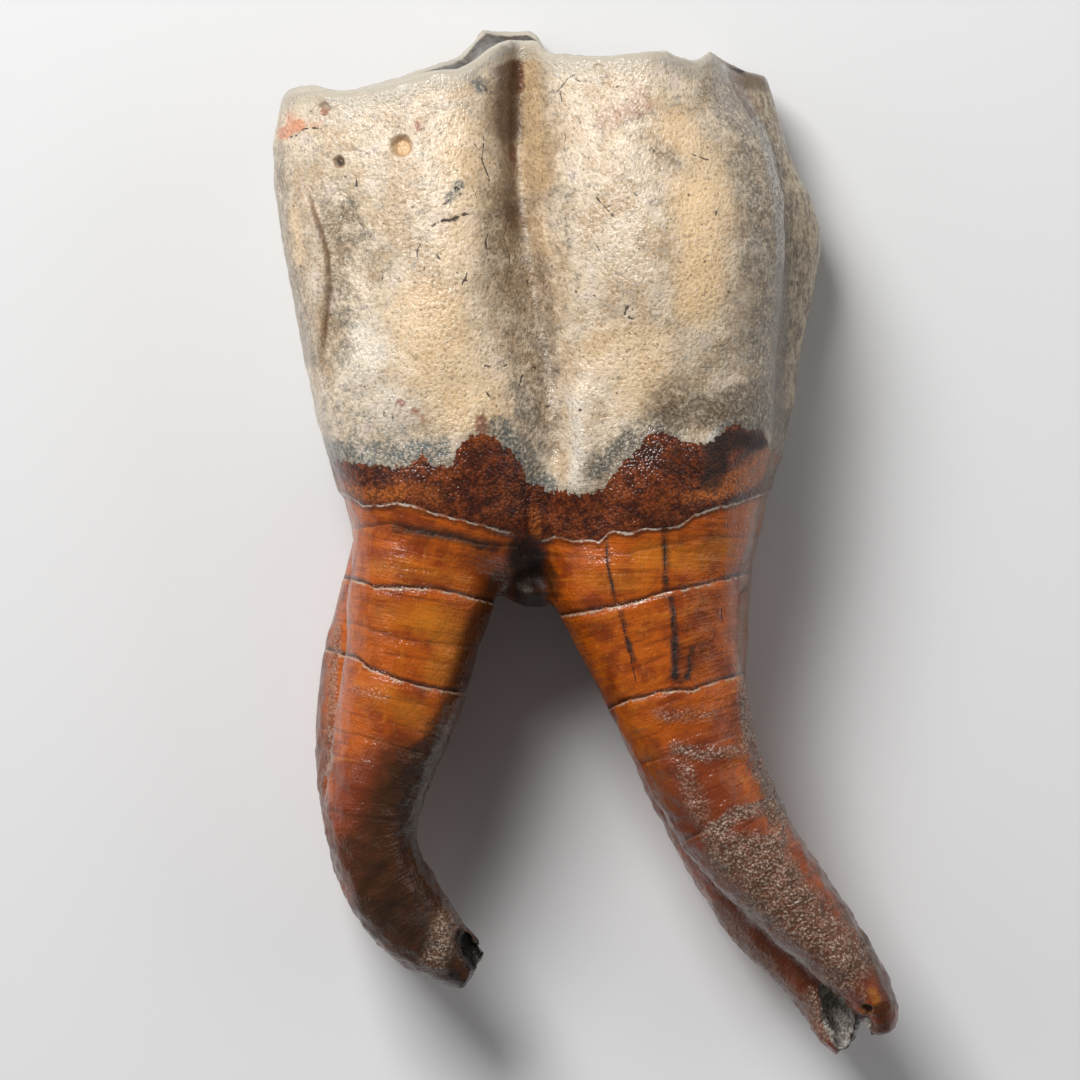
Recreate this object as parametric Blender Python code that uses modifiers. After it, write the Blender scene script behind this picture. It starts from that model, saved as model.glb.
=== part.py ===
"""Fossil lower molar of a woolly rhinoceros, lying on its lingual (tongue) side.

Blender 4.5, metres, +Z up. +X is distal (towards the back of the jaw), +Y is the
chewing end and +Z is labial (towards the lip). Every figure below is in millimetres.
Places across the tooth are drawn as they look from VIEW_DISTANCE in front of the
labial face, where near points look larger, and at_depth() turns them into real places.
The origin is the middle of the tooth's footprint, on the surface it lies on.
"""

import bmesh
import bpy
import numpy as np
from mathutils import Vector, noise

MM = 0.001

# The view that the outlines are drawn in.
VIEW_CENTRE = np.array((-4.5, 0.0))
VIEW_DISTANCE = 500.0
MID_DEPTH = 14.0

# Meshing.
AROUND_CROWN = 144
LEVELS_OF_CROWN = 64
AROUND_ROOT = 40
STATIONS_OF_ROOT = 56
VOXEL = 0.6
MOST_TRIANGLES = 9600

# Crown outlines seen from the chewing end, one per height: (across, depth) of each column of
# the crown, from the mesio-labial corner along the labial face, round the distal end, back
# along the lingual face with its two valleys, and up the mesial face.
CROWN_OUTLINES = {
    57: (
        (-29.6, 18.5), (-27, 22.5), (-20, 25), (-13, 26), (-8.8, 25), (-7.3, 20), (-5, 22), (-1, 25),
        (5, 26.5), (10, 24.5), (13, 19.5), (14, 14.5), (17.2, 9), (16, 3.5), (12.5, 1.8), (8, 4),
        (3.5, 14), (-1, 6.5), (-6, 2.2), (-11, 3.6), (-17, 13.5), (-23, 8.5), (-27, 9.5), (-29.6, 14),
    ),
    47: (
        (-29.8, 19), (-27, 23.5), (-20, 26), (-13, 27), (-8.8, 26), (-7.3, 20.5), (-5, 23), (-1, 26),
        (5, 27.5), (10, 25.5), (13.4, 20), (14.2, 14.5), (17.8, 9), (16.5, 3), (12.5, 1), (8, 3.5),
        (3.5, 13), (-1, 6), (-6, 1.5), (-11, 3), (-17, 13), (-23, 8), (-27, 9), (-30, 14),
    ),
    38: (
        (-31.2, 19), (-28, 24), (-20, 27.2), (-12.8, 28.2), (-8.8, 26.8), (-7.3, 21.5), (-4.9, 24.4),
        (-0.8, 27.2), (6, 28.8), (13.5, 26.5), (18.7, 20.3), (18.2, 15), (20.7, 9), (19, 3),
        (13.5, 0.6), (8.3, 2.5), (3.5, 11), (-1.3, 5), (-6.5, 1), (-12, 2), (-17.3, 10), (-22.5, 6),
        (-27, 8), (-31, 13.5),
    ),
    29: (
        (-30.2, 19), (-27.3, 24.5), (-20, 27.8), (-12.5, 28.8), (-8.8, 27.2), (-6.2, 22.8), (-4, 25.4),
        (-0.5, 28), (6.5, 29.6), (14.5, 27.2), (19.7, 20.5), (19.6, 15), (23.6, 8.5), (21.5, 3),
        (14.5, 0.5), (8.5, 2), (3.5, 9), (-1.5, 4), (-7, 0.8), (-13, 1.8), (-17.5, 7), (-22, 4.5),
        (-27, 7), (-30, 13),
    ),
    12: (
        (-26.7, 18), (-24, 24), (-18.5, 27.5), (-12, 28.6), (-7.5, 27.6), (-3.1, 24.6), (-0.9, 26.4),
        (2, 27.2), (8, 28.3), (14, 25.8), (18.4, 19.5), (18.6, 14), (20.5, 8.5), (18.5, 3.5), (13, 1),
        (8, 1.2), (3, 4), (-2, 2), (-7.5, 0.8), (-13, 1), (-17, 3), (-20.5, 3), (-24, 6), (-26.5, 12),
    ),
    0: (
        (-23.3, 17), (-21, 22.8), (-16.5, 25.9), (-11.5, 26.5), (-7.5, 25), (-4.4, 22.8), (-1.8, 23.8),
        (2, 25.4), (7.5, 26.3), (13, 24.2), (16.9, 18.5), (17.3, 14), (17.8, 9), (16, 4.5), (11.5, 2.5),
        (7, 2.5), (2.5, 4), (-2, 3), (-7, 2.2), (-12, 2.2), (-15.5, 3), (-18.5, 4), (-21.5, 6.5),
        (-23.4, 12),
    ),
    -5: (
        (-22, 16), (-20, 21), (-16, 23.5), (-11.8, 23), (-8.8, 20), (-6.3, 16.5), (-4.2, 18.5), (0, 22),
        (6, 23.6), (12, 22), (15, 17), (15.6, 14), (15.8, 10), (14, 6), (10, 4.5), (5, 4.6), (-2, 7),
        (-5.5, 9.5), (-8.5, 7), (-12, 4.2), (-15, 4.2), (-17.5, 5), (-20, 7.5), (-22, 12),
    ),
}

# The crown's left and right edges: (height, across).
MESIAL_EDGE = (
    (-5, -22.4), (1, -23.4), (4, -24.2), (6, -24.8), (8.3, -25.5), (12, -26.7), (17, -27.9),
    (24.5, -29.2), (30, -30.3), (34, -30.9), (39, -31.3), (41.5, -30.9), (44, -30.4), (47, -29.8),
    (57, -29.5),
)
DISTAL_EDGE = (
    (-5, 16.4), (1, 17.8), (5, 18.4), (9, 19.7), (13.5, 20.8), (18.5, 21.5), (23.8, 22.7), (28.5, 23.6),
    (31, 23.5), (34, 22.6), (37, 21), (42, 19.5), (46.4, 18.2), (57, 17.6),
)

# The worn chewing surface: height of its labial and of its lingual edge along the crown.
LABIAL_RIM = (
    (-34, 44.4), (-30.2, 45.4), (-29.5, 46.1), (-27, 45.7), (-25, 44.9), (-21.5, 45.2), (-18.5, 45.8),
    (-15.5, 46.9), (-12.5, 47.2), (-10.7, 48.3), (-9.5, 49.2), (-7.3, 49.9), (-4.5, 49.8), (-3.9, 48.7),
    (1.5, 48.5), (6.5, 48.8), (7.7, 48.9), (11.2, 47.9), (12.6, 49), (13.3, 48.2), (16, 46.8), (22, 46),
)
LINGUAL_RIM = (
    (-34, 43), (-26, 44), (-23.3, 45), (-18.5, 46.7), (-16.5, 47.6), (-12.5, 48.8), (-11.5, 49.4),
    (-10.2, 51.3), (-9.6, 50.8), (-7.5, 50.7), (-5.7, 50.9), (-4.7, 50.4), (-3.9, 48.4), (0, 47.3),
    (6, 47), (10, 47.3), (12.6, 48.8), (14.5, 47.6), (16, 46.8), (22, 46),
)
RIM_DEPTHS = (4.0, 26.0)
ENAMEL_BAND = 1.7
DENTINE_DISH = 1.1
DISH_WALL = 0.9

# The block that cuts the chewing surface: how far it reaches, and its grid.
CUTTER_ACROSS = (-38.0, 32.0)
CUTTER_DEPTHS = (-6.0, 36.0)
CUTTER_TOP = 64.0
CUTTER_STEP = 0.6

# Roots. Each is a broad plate of two joined lobes, labial and lingual. A station across a lobe
# is its left edge (across, height), its right edge, its middle depth and its half depth.
ROOT_LOBES = {
    "mesial_labial": (
        (-23.0, 3, -6.5, 3, 18.0, 7.6), (-23.4, -2.5, -8.2, -2.5, 18.0, 7.8),
        (-23.9, -6, -9.0, -6.8, 17.8, 7.7), (-24.0, -10.5, -10.5, -11, 17.5, 7.5),
        (-24.8, -16, -12.2, -17, 17.2, 7.3), (-25.4, -21, -14.4, -22.2, 17, 7),
        (-26.0, -25, -16.2, -26.8, 16.8, 6.6), (-25.9, -29.5, -16.7, -30.2, 16.5, 6.2),
        (-24.6, -34.4, -15.7, -32.4, 16, 5.8), (-22.4, -38.5, -14.2, -34.8, 15.5, 5.2),
        (-19.2, -41.8, -12.9, -37.2, 15, 4.8), (-15.6, -43.8, -11.2, -39.3, 14.8, 4.4),
        (-12.4, -45.2, -9.9, -41.6, 14.6, 3.6),
    ),
    "mesial_lingual": (
        (-22.5, 3, -7.5, 3, 8.5, 6.2), (-23.9, -2, -9.0, -2.5, 8, 6.4),
        (-24.8, -6, -10.0, -6.8, 7.6, 6.5), (-26.1, -10.5, -11.8, -11.5, 7.3, 6.6),
        (-26.9, -16, -13.6, -17.5, 7, 6.7), (-27.1, -20.5, -15.5, -22.5, 6.9, 6.7),
        (-26.8, -25, -17.3, -27, 7, 6.5), (-26.0, -29.5, -17.6, -30.3, 7.4, 6.1),
        (-24.9, -33.8, -16.5, -32.2, 8, 5.5), (-22.8, -37.6, -15.6, -34.4, 8.6, 4.8),
        (-19.8, -40.6, -14.6, -36.6, 9.5, 4.0), (-17.0, -42.0, -13.8, -38.4, 10.5, 3.0),
    ),
    "distal_labial": (
        (-4.6, 3, 16.6, 3, 18, 7.6), (-4.2, -2, 16.0, -2, 18, 7.8), (-3.4, -6.3, 15.5, -5.5, 17.8, 7.7),
        (-1.1, -10.4, 15.4, -9.5, 17.5, 7.5), (0.8, -14.2, 15.9, -13, 17.2, 7.3),
        (2.8, -18, 16.5, -16.5, 17, 7.2), (5.0, -22.5, 17.4, -20.8, 16.8, 7.1),
        (7.9, -27.8, 19.2, -25.4, 16.6, 6.9), (10.8, -32.3, 21.6, -29.6, 16.5, 6.6),
        (14.6, -36, 24.0, -33.2, 16.3, 6.2), (18.2, -39.6, 26.4, -36.8, 16, 5.8),
        (21.6, -42.6, 28.6, -40.2, 15.8, 5.4), (24.6, -45.2, 30.4, -43.4, 15.6, 5),
        (27.2, -47.8, 31.5, -46.4, 15.5, 4.2), (28.4, -49.7, 31.0, -48.8, 15.4, 2.8),
    ),
    "distal_lingual": (
        (-4.0, 3, 17.2, 3, 8.5, 6.2), (-3.6, -2, 17.0, -2, 8, 6.4), (-2.6, -6.5, 16.6, -5.5, 7.6, 6.5),
        (-0.6, -10.6, 16.4, -9.5, 7.2, 6.7), (1.2, -14.4, 16.3, -13.2, 7, 6.7),
        (3.0, -18.3, 16.5, -16.7, 6.8, 6.7), (5.0, -22.8, 17.0, -20.5, 6.7, 6.6),
        (7.4, -28, 18.2, -25, 6.8, 6.5), (9.7, -32.5, 20.0, -29.2, 7, 6.3),
        (12.3, -36.6, 22.0, -33.3, 7.4, 6), (15.4, -40.8, 24.0, -37.4, 8, 5.6),
        (18.7, -44, 25.8, -41.4, 8.8, 5.2), (21.4, -47.0, 27.4, -45.2, 9.8, 4.6),
        (23.2, -50.0, 27.3, -48.6, 10.4, 3.8), (24.6, -51.4, 26.6, -50.8, 10.8, 2.8),
    ),
}
ROOT_SQUARENESS = 0.95

# Hollows broken into the root tips: (across, height, depth), half sizes, turn in the sheet plane.
TIP_HOLLOWS = (
    ((-12.0, -41.5, 17.4), (1.0, 2.4, 3.6), 22),
    ((-13.3, -43.2, 17.8), (0.6, 0.8, 2.2), 0),
    ((25.0, -48.2, 13.8), (1.5, 4.6, 3.4), 14),
    ((27.75, -50.0, 14.6), (0.5, 2.7, 6.0), 0),
)

# Round pits bitten into the labial enamel: (across, height), radius, depth.
PITS = (
    ((-18.4, 39.4), 1.15, 0.9),
    ((-24.6, 37.8), 0.65, 0.8),
    ((-25.95, 43.1), 0.75, 0.25),
    ((1.3, 47.1), 0.55, 0.15),
)
PIT_FLOOR = 0.6

# The deep groove between the two lobes, and every broad stroke of the labial side: path
# (across, height), reach, rise (- is a groove).
LABIAL_GROOVE = (
    (-7.3, 54.0), (-7.3, 36.0), (-6.2, 29.0), (-4.8, 24.0), (-3.8, 19.0), (-3.3, 12.0), (-3.0, 7.0),
)
STROKES = (
    (((-25.5, 37.0), (-24.0, 32.0), (-22.8, 26.0), (-23.0, 16.0)), 5.4, -0.5),
    (((-16.0, 42.0), (-14.6, 34.0), (-14.2, 24.0), (-14.6, 12.0)), 7.8, 0.8),
    (LABIAL_GROOVE, 5.1, -1.1),
    (((1.0, 44.0), (4.5, 34.0), (5.5, 26.0), (5.0, 17.5)), 12.8, 1.0),
    (((-1.2, 18.0), (-1.0, 10.0), (-1.1, 2.0)), 3.4, 0.8),
    (((3.0, 10.5), (8.5, 12.0), (14.0, 13.5)), 5.1, -0.8),
    (((-24.0, 10.5), (-19.0, 9.5), (-13.0, 10.5)), 4.4, -0.4),
    (((12.0, 48.0), (15.5, 42.0), (17.6, 34.0), (17.8, 24.0), (16.8, 13.0)), 4.4, -0.5),
)
STROKE_FADE = 0.3

# The fold near the mesial edge: a rolled ridge on its mesial side falls into it.
FOLD = (
    (-28.8, 38.5), (-28.0, 35.5), (-27.3, 34), (-26.8, 32.5), (-26.4, 31.5), (-25.8, 29), (-25.6, 27.8),
    (-25.5, 25.5), (-25.7, 23.5), (-26.1, 19), (-26.3, 15),
)
FOLD_RIDGE = 0.75
FOLD_DROP = 0.75
FOLD_WALL = 0.8
FOLD_WIDTH = 2.0
FOLD_FADE = 6.0

# Where the enamel ends on each side, and the main growth ledges of each root: (across, height).
LABIAL_NECK = (
    (-25, 4.8), (-24.4, 4.7), (-23.5, 4.3), (-22.2, 3.4), (-20.5, 3.4), (-18.5, 3.7), (-17, 3.3),
    (-15.1, 2.6), (-13.2, 2.1), (-11.3, 1.7), (-9.4, 1.2), (-7.1, 0.6), (-6.5, 0.4), (-4.1, -0.1),
    (-3, 0.3), (-1.1, -0.2), (0.5, 0), (1.4, -0.3), (2.6, 0.9), (4.7, 0.6), (5.8, 1.1), (7.7, 1.1),
    (9.5, 1.4), (10.8, 2.4), (12.7, 3.1), (15.4, 3.7), (16.5, 4.1), (18, 4.8), (20, 5.4),
)
LINGUAL_NECK = ((-25, 4.8), (-20, 2.5), (-13, 4.5), (-6, 1.0), (0, 1.5), (8, 4.5), (15, 3.5), (20, 5.4))
NECK_STEP = 0.3
NECK_SWELL = 6.0
ROOT_SPLIT = -6.5
MESIAL_LEDGES = (
    (
        (-27, -3.3), (-22.5, -4.1), (-21.2, -4.7), (-15.9, -4.8), (-13.8, -5.1), (-11.7, -5.6),
        (-9, -6.3), (-7, -7),
    ),
    (
        (-27, -10.6), (-22.9, -11.8), (-21.8, -12.8), (-17.6, -14.3), (-15, -14.9), (-11.8, -15.3),
        (-9, -15.6),
    ),
)
DISTAL_LEDGES = (
    (
        (-5, -7.9), (-1.9, -7.5), (0.9, -7.0), (5.3, -6.1), (7.7, -5.3), (10.8, -4.7),
        (14.9, -3.8), (18, -3),
    ),
    (
        (0, -17.8), (2.5, -16.8), (6.2, -15.6), (8.5, -15), (10.8, -15), (12.3, -14.4),
        (15.1, -13.6), (18, -12.8),
    ),
)
LEDGE_STEP = 0.3
LEDGE_LIP = 0.35
LEDGE_SWELL = 1.6
LEDGE_SLOT = 1.2

# How deep the labial side begins, and how far it blends into the lingual one.
LABIAL_FROM = 9.0
LABIAL_BLEND = 8.0

# Unevenness of the skin: lump sizes, and how far each moves it. Low on the roots it is rougher.
LUMPS = (4.2, 0.16)
RIPPLES = (1.7, 0.1)
ROUGH_BELOW = -16.0
ROOT_ROUGHNESS = 0.14
ROUGHNESS_FADE = 8.0

BASE_COLOUR = (0.62, 0.52, 0.38, 1.0)
BASE_ROUGHNESS = 0.45


def through(rows, count, closed=False):
    """count samples of a smooth curve through the rows, each a point or a section's figures."""
    rows = np.array(rows, float)
    if closed:
        rows = np.concatenate((rows[-1:], rows, rows[:2]))
        places = np.arange(count) / count * (len(rows) - 3)
    else:
        rows = np.concatenate((2 * rows[:1] - rows[1:2], rows, 2 * rows[-1:] - rows[-2:-1]))
        places = np.linspace(0, len(rows) - 3, count)
    start = np.minimum(places.astype(int), len(rows) - 4)
    f = (places - start)[:, None]
    a, b, c, d = (rows[start + step] for step in range(4))
    return b + 0.5 * f * (c - a + f * (2 * a - 5 * b + 4 * c - d + f * (3 * b - a - 3 * c + d)))


def at_depth(drawn, depth):
    """Real places (x, y) of points drawn in the view, which lie at this depth."""
    nearness = 1 - (np.asarray(depth) - MID_DEPTH) / VIEW_DISTANCE
    return VIEW_CENTRE + (np.asarray(drawn) - VIEW_CENTRE) * nearness[..., None]


def as_drawn(points):
    """Where real points (x, y, z) lie in the view."""
    nearness = 1 - (points[:, 2] - MID_DEPTH) / VIEW_DISTANCE
    return VIEW_CENTRE + (points[:, :2] - VIEW_CENTRE) / nearness[:, None]


def height_along(line, across):
    return np.interp(across, *np.transpose(line))


def smooth_step(value):
    value = np.clip(value, 0, 1)
    return value * value * (3 - 2 * value)


def nearest_on(path, places, closed=False):
    """From each place (x, y) to a path: the gap, negative on the right side, and how far along it is."""
    path = np.array(path, float)
    ends = np.roll(path, -1, axis=0) if closed else path[1:]
    gaps = np.full(len(places), np.inf)
    along = np.zeros(len(places))
    gone = 0.0
    for start, end in zip(path, ends):
        run = end - start
        length = np.linalg.norm(run)
        out = places - start
        share = np.clip(out @ run / length**2, 0, 1)
        gap = np.linalg.norm(out - share[:, None] * run, axis=1)
        nearer = gap < np.abs(gaps)
        side = np.where(run[0] * out[:, 1] - run[1] * out[:, 0] < 0, -1.0, 1.0)
        gaps = np.where(nearer, gap * side, gaps)
        along = np.where(nearer, gone + share * length, along)
        gone += length
    return gaps, along


def stroke(path, reach, places):
    """1 on the path, 0 beyond its reach, fading at its ends over STROKE_FADE of its length."""
    gap, along = nearest_on(path, places)
    length = along.max()
    fade = smooth_step(np.minimum(along, length - along) / (STROKE_FADE * length))
    return (1 - smooth_step(np.abs(gap) / reach)) * fade


def loft(name, rings, collection):
    """A closed solid through rings of equal point count, with flat ends. rings is in millimetres."""
    form = bmesh.new()
    loops = [[form.verts.new(point * MM) for point in ring] for ring in rings]
    for low, high in zip(loops, loops[1:]):
        for i in range(len(low)):
            form.faces.new((low[i - 1], low[i], high[i], high[i - 1]))
    form.faces.new(reversed(loops[0]))
    form.faces.new(loops[-1])
    bmesh.ops.recalc_face_normals(form, faces=form.faces)
    mesh = bpy.data.meshes.new(name)
    form.to_mesh(mesh)
    form.free()
    made = bpy.data.objects.new(name, mesh)
    collection.objects.link(made)
    return made


def crown_rings():
    rows = [[height, *np.ravel(outline)] for height, outline in sorted(CROWN_OUTLINES.items())]
    rings = []
    for row in through(rows, LEVELS_OF_CROWN):
        height = row[0]
        across, depth = through(row[1:].reshape(-1, 2), AROUND_CROWN, closed=True).T
        left = height_along(MESIAL_EDGE, height)
        right = height_along(DISTAL_EDGE, height)
        across = left + (across - across.min()) * (right - left) / np.ptp(across)
        drawn = np.column_stack((across, np.full_like(across, height)))
        rings.append(np.column_stack((at_depth(drawn, depth), depth)))
    return rings


def root_lobe_rings(stations):
    angles = np.linspace(0, 2 * np.pi, AROUND_ROOT, endpoint=False)
    round_x = np.sign(np.cos(angles)) * np.abs(np.cos(angles)) ** ROOT_SQUARENESS
    round_z = np.sign(np.sin(angles)) * np.abs(np.sin(angles)) ** ROOT_SQUARENESS
    rings = []
    for left_x, left_y, right_x, right_y, middle, half in through(stations, STATIONS_OF_ROOT):
        share = ((1 + round_x) / 2)[:, None]
        drawn = (1 - share) * (left_x, left_y) + share * (right_x, right_y)
        middles = np.full(AROUND_ROOT, middle)
        rings.append(np.column_stack((at_depth(drawn, middles), middle + half * round_z)))
    return rings


def worn_surface_cutter(collection):
    """Everything above the chewing surface: enamel edges stand proud of dished dentine."""
    columns = np.arange(*CUTTER_ACROSS, CUTTER_STEP)
    rim = through(CROWN_OUTLINES[47], AROUND_CROWN, closed=True)
    rings = []
    for depth in np.arange(*CUTTER_DEPTHS, CUTTER_STEP):
        level = np.full_like(columns, depth)
        drawn = as_drawn(np.column_stack((columns, np.zeros_like(columns), level)))[:, 0]
        share = (depth - RIM_DEPTHS[0]) / (RIM_DEPTHS[1] - RIM_DEPTHS[0])
        height = (1 - share) * height_along(LINGUAL_RIM, drawn) + share * height_along(LABIAL_RIM, drawn)
        height = at_depth(np.column_stack((drawn, height)), level)[:, 1]
        inside = np.abs(nearest_on(rim, np.column_stack((drawn, level)), closed=True)[0])
        height = height - DENTINE_DISH * smooth_step(0.5 + (inside - ENAMEL_BAND) / DISH_WALL)
        low = np.column_stack((columns, height, level))
        high = np.column_stack((columns[::-1], np.full_like(columns, CUTTER_TOP), level))
        rings.append(np.concatenate((low, high)))
    return loft("worn_surface", rings, collection)


def tip_hollow(index, place, half_sizes, turn, collection):
    bpy.ops.mesh.primitive_uv_sphere_add(segments=20, ring_count=12, radius=MM)
    hollow = bpy.context.object
    hollow.name = f"tip_hollow_{index}"
    depth = place[2]
    x, y = at_depth(place[:2], np.array(depth))
    hollow.location = (x * MM, y * MM, depth * MM)
    hollow.scale = half_sizes
    hollow.rotation_euler = (0, 0, np.radians(turn))
    for user in list(hollow.users_collection):
        user.objects.unlink(hollow)
    collection.objects.link(hollow)
    return hollow


def add_boolean(target, other, operation):
    cut = target.modifiers.new(other.name, "BOOLEAN")
    cut.operation = operation
    cut.solver = "EXACT"
    cut.object = other


def bake(target):
    """Replaces the object's mesh with what its modifiers make of it."""
    graph = bpy.context.evaluated_depsgraph_get()
    mesh = bpy.data.meshes.new_from_object(target.evaluated_get(graph))
    target.modifiers.clear()
    target.data = mesh


def ledge_rise(above, step):
    """A ledge's profile: it swells towards its lip, at 0, and drops by step just below it."""
    lip = smooth_step(0.5 + above / (2 * LEDGE_LIP))
    swell = lip * np.exp(-np.maximum(above, 0) / LEDGE_SWELL)
    return step * (swell - 0.5 * np.exp(-np.abs(above) / LEDGE_SLOT))


def fold_swell(drawn):
    """How far the fold near the mesial edge lifts (its ridge) or sinks (its drop) each place."""
    gap, along = nearest_on(FOLD, drawn)
    fade = smooth_step(np.minimum(along, along.max() - along) / FOLD_FADE)
    ridge = FOLD_RIDGE * np.exp(-(((gap + FOLD_RIDGE) / FOLD_RIDGE) ** 2))
    drop = FOLD_DROP * smooth_step(0.5 + gap / FOLD_WALL) * np.exp(-np.maximum(gap, 0) / FOLD_WIDTH)
    return fade * (ridge - drop)


def noise_at(points, size):
    return np.array([noise.noise(Vector(point) / size) for point in points])


def carve(target):
    """Moves the surface for what is too fine for the lofts."""
    mesh = target.data
    points = np.empty(len(mesh.vertices) * 3)
    normals = np.empty_like(points)
    mesh.vertices.foreach_get("co", points)
    mesh.vertices.foreach_get("normal", normals)
    points = points.reshape(-1, 3) / MM
    normals = normals.reshape(-1, 3)
    drawn = as_drawn(points)
    across, height = drawn.T
    labial = smooth_step((points[:, 2] - LABIAL_FROM) / LABIAL_BLEND)
    facing = smooth_step(normals[:, 2] * 2) * (points[:, 2] > LABIAL_FROM)

    above_neck = height - labial * height_along(LABIAL_NECK, across)
    above_neck -= (1 - labial) * height_along(LINGUAL_NECK, across)
    rise = NECK_STEP * (smooth_step(0.5 + above_neck / (2 * LEDGE_LIP)) - 0.5)
    rise *= 1 - smooth_step(above_neck / NECK_SWELL - 0.5)
    for ledges, own in ((MESIAL_LEDGES, across < ROOT_SPLIT), (DISTAL_LEDGES, across >= ROOT_SPLIT)):
        for line in ledges:
            above = height - height_along(line, across)
            rise += own * (height < 0) * ledge_rise(above, LEDGE_STEP)
    for place, radius, depth in PITS:
        away = np.linalg.norm(drawn - place, axis=1) / radius
        rise -= facing * depth * (1 - smooth_step((away - PIT_FLOOR) / (1.2 - PIT_FLOOR)))
    rise += LUMPS[1] * noise_at(points, LUMPS[0])
    ripples = noise_at(points, RIPPLES[0])
    rise += ripples * (RIPPLES[1] + ROOT_ROUGHNESS * smooth_step((ROUGH_BELOW - height) / ROUGHNESS_FADE))

    swell = fold_swell(drawn)
    for path, reach, amount in STROKES:
        swell += amount * stroke(path, reach, drawn)
    points += normals * rise[:, None]
    points[:, 2] += facing * swell
    mesh.vertices.foreach_set("co", (points * MM).ravel())
    mesh.update()


def settle(target):
    """Puts the origin under the middle of the tooth, on the surface it lies on."""
    bake(target)
    places = np.array([vertex.co for vertex in target.data.vertices])
    low, high = places.min(axis=0), places.max(axis=0)
    offset = Vector(((low[0] + high[0]) / 2, (low[1] + high[1]) / 2, low[2]))
    for vertex in target.data.vertices:
        vertex.co -= offset
    print("tooth box (mm):", (high - low) / MM, "moved by", -np.array(offset) / MM)


def tooth_material():
    material = bpy.data.materials.new("fossil tooth")
    material.use_nodes = True
    shader = material.node_tree.nodes["Principled BSDF"]
    shader.inputs["Base Color"].default_value = BASE_COLOUR
    shader.inputs["Roughness"].default_value = BASE_ROUGHNESS
    shader.inputs["Metallic"].default_value = 0.0
    return material


def build_tooth(tooth_collection, cutters):
    tooth = loft("tooth", crown_rings(), tooth_collection)
    for name, stations in ROOT_LOBES.items():
        add_boolean(tooth, loft(name, root_lobe_rings(stations), cutters), "UNION")
    add_boolean(tooth, worn_surface_cutter(cutters), "DIFFERENCE")
    for index, (place, half_sizes, turn) in enumerate(TIP_HOLLOWS):
        add_boolean(tooth, tip_hollow(index, place, half_sizes, turn, cutters), "DIFFERENCE")
    skin = tooth.modifiers.new("skin", "REMESH")
    skin.mode = "VOXEL"
    skin.voxel_size = VOXEL * MM
    even = tooth.modifiers.new("even", "SMOOTH")
    even.factor = 0.5
    even.iterations = 3
    bake(tooth)
    carve(tooth)
    triangles = sum(len(face.vertices) - 2 for face in tooth.data.polygons)
    lighter = tooth.modifiers.new("lighter", "DECIMATE")
    lighter.ratio = MOST_TRIANGLES / triangles
    settle(tooth)
    tooth.data.materials.clear()
    tooth.data.materials.append(tooth_material())


def main():
    for old in list(bpy.data.objects):
        bpy.data.objects.remove(old)
    tooth_collection = bpy.data.collections.new("woolly_rhino_tooth")
    cutters = bpy.data.collections.new("cutters")
    for made in (tooth_collection, cutters):
        bpy.context.scene.collection.children.link(made)
    build_tooth(tooth_collection, cutters)
    for helper in cutters.objects:
        helper.hide_render = True
        helper.display_type = "WIRE"


main()
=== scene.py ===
"""The looks of a fossil lower molar of a woolly rhinoceros, lying on its lingual side.

The frame holds the solid. Here the same tooth is made finely, with the relief and the
stains that its surface shows, and stands in for the solid. Lengths are in millimetres
until a mesh is made. +X is distal, +Y is the chewing end and +Z is labial (up).
Places across the tooth are drawn as they look from VIEW_DISTANCE above MID_DEPTH, where
near points look larger. at_depth() and as_drawn() turn drawn places into real ones and back.
"""

import functools

import bmesh
import bpy
import numpy as np
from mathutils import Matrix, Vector, noise


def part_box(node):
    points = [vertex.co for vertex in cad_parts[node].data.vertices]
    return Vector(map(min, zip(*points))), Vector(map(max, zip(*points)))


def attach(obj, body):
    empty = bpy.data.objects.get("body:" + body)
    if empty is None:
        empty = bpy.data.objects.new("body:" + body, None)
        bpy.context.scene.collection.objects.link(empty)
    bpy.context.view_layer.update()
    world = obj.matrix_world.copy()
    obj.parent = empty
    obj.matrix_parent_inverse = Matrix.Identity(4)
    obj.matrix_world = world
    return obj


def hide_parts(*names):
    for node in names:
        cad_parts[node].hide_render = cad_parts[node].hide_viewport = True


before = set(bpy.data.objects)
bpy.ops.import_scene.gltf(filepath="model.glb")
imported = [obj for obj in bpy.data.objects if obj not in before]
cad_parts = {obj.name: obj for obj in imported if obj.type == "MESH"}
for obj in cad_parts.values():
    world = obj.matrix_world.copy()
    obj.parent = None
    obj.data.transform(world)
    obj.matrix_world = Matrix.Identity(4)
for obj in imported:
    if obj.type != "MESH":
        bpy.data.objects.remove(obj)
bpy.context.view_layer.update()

MM = 0.001

# ---------------------------------------------------------------- the tooth's form

# The view that the outlines are drawn in. It shows this width at the middle depth.
VIEW_CENTRE = np.array((-4.5, 0.0))
VIEW_DISTANCE = 500.0
VIEW_WIDTH = 108.0
MID_DEPTH = 14.0

# Points round each form, rings along it, and the size of the squares of the skin over all of them.
AROUND_CROWN = 144
LEVELS_OF_CROWN = 64
AROUND_ROOT = 40
STATIONS_OF_ROOT = 56
SKIN_VOXEL = 0.49

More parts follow.
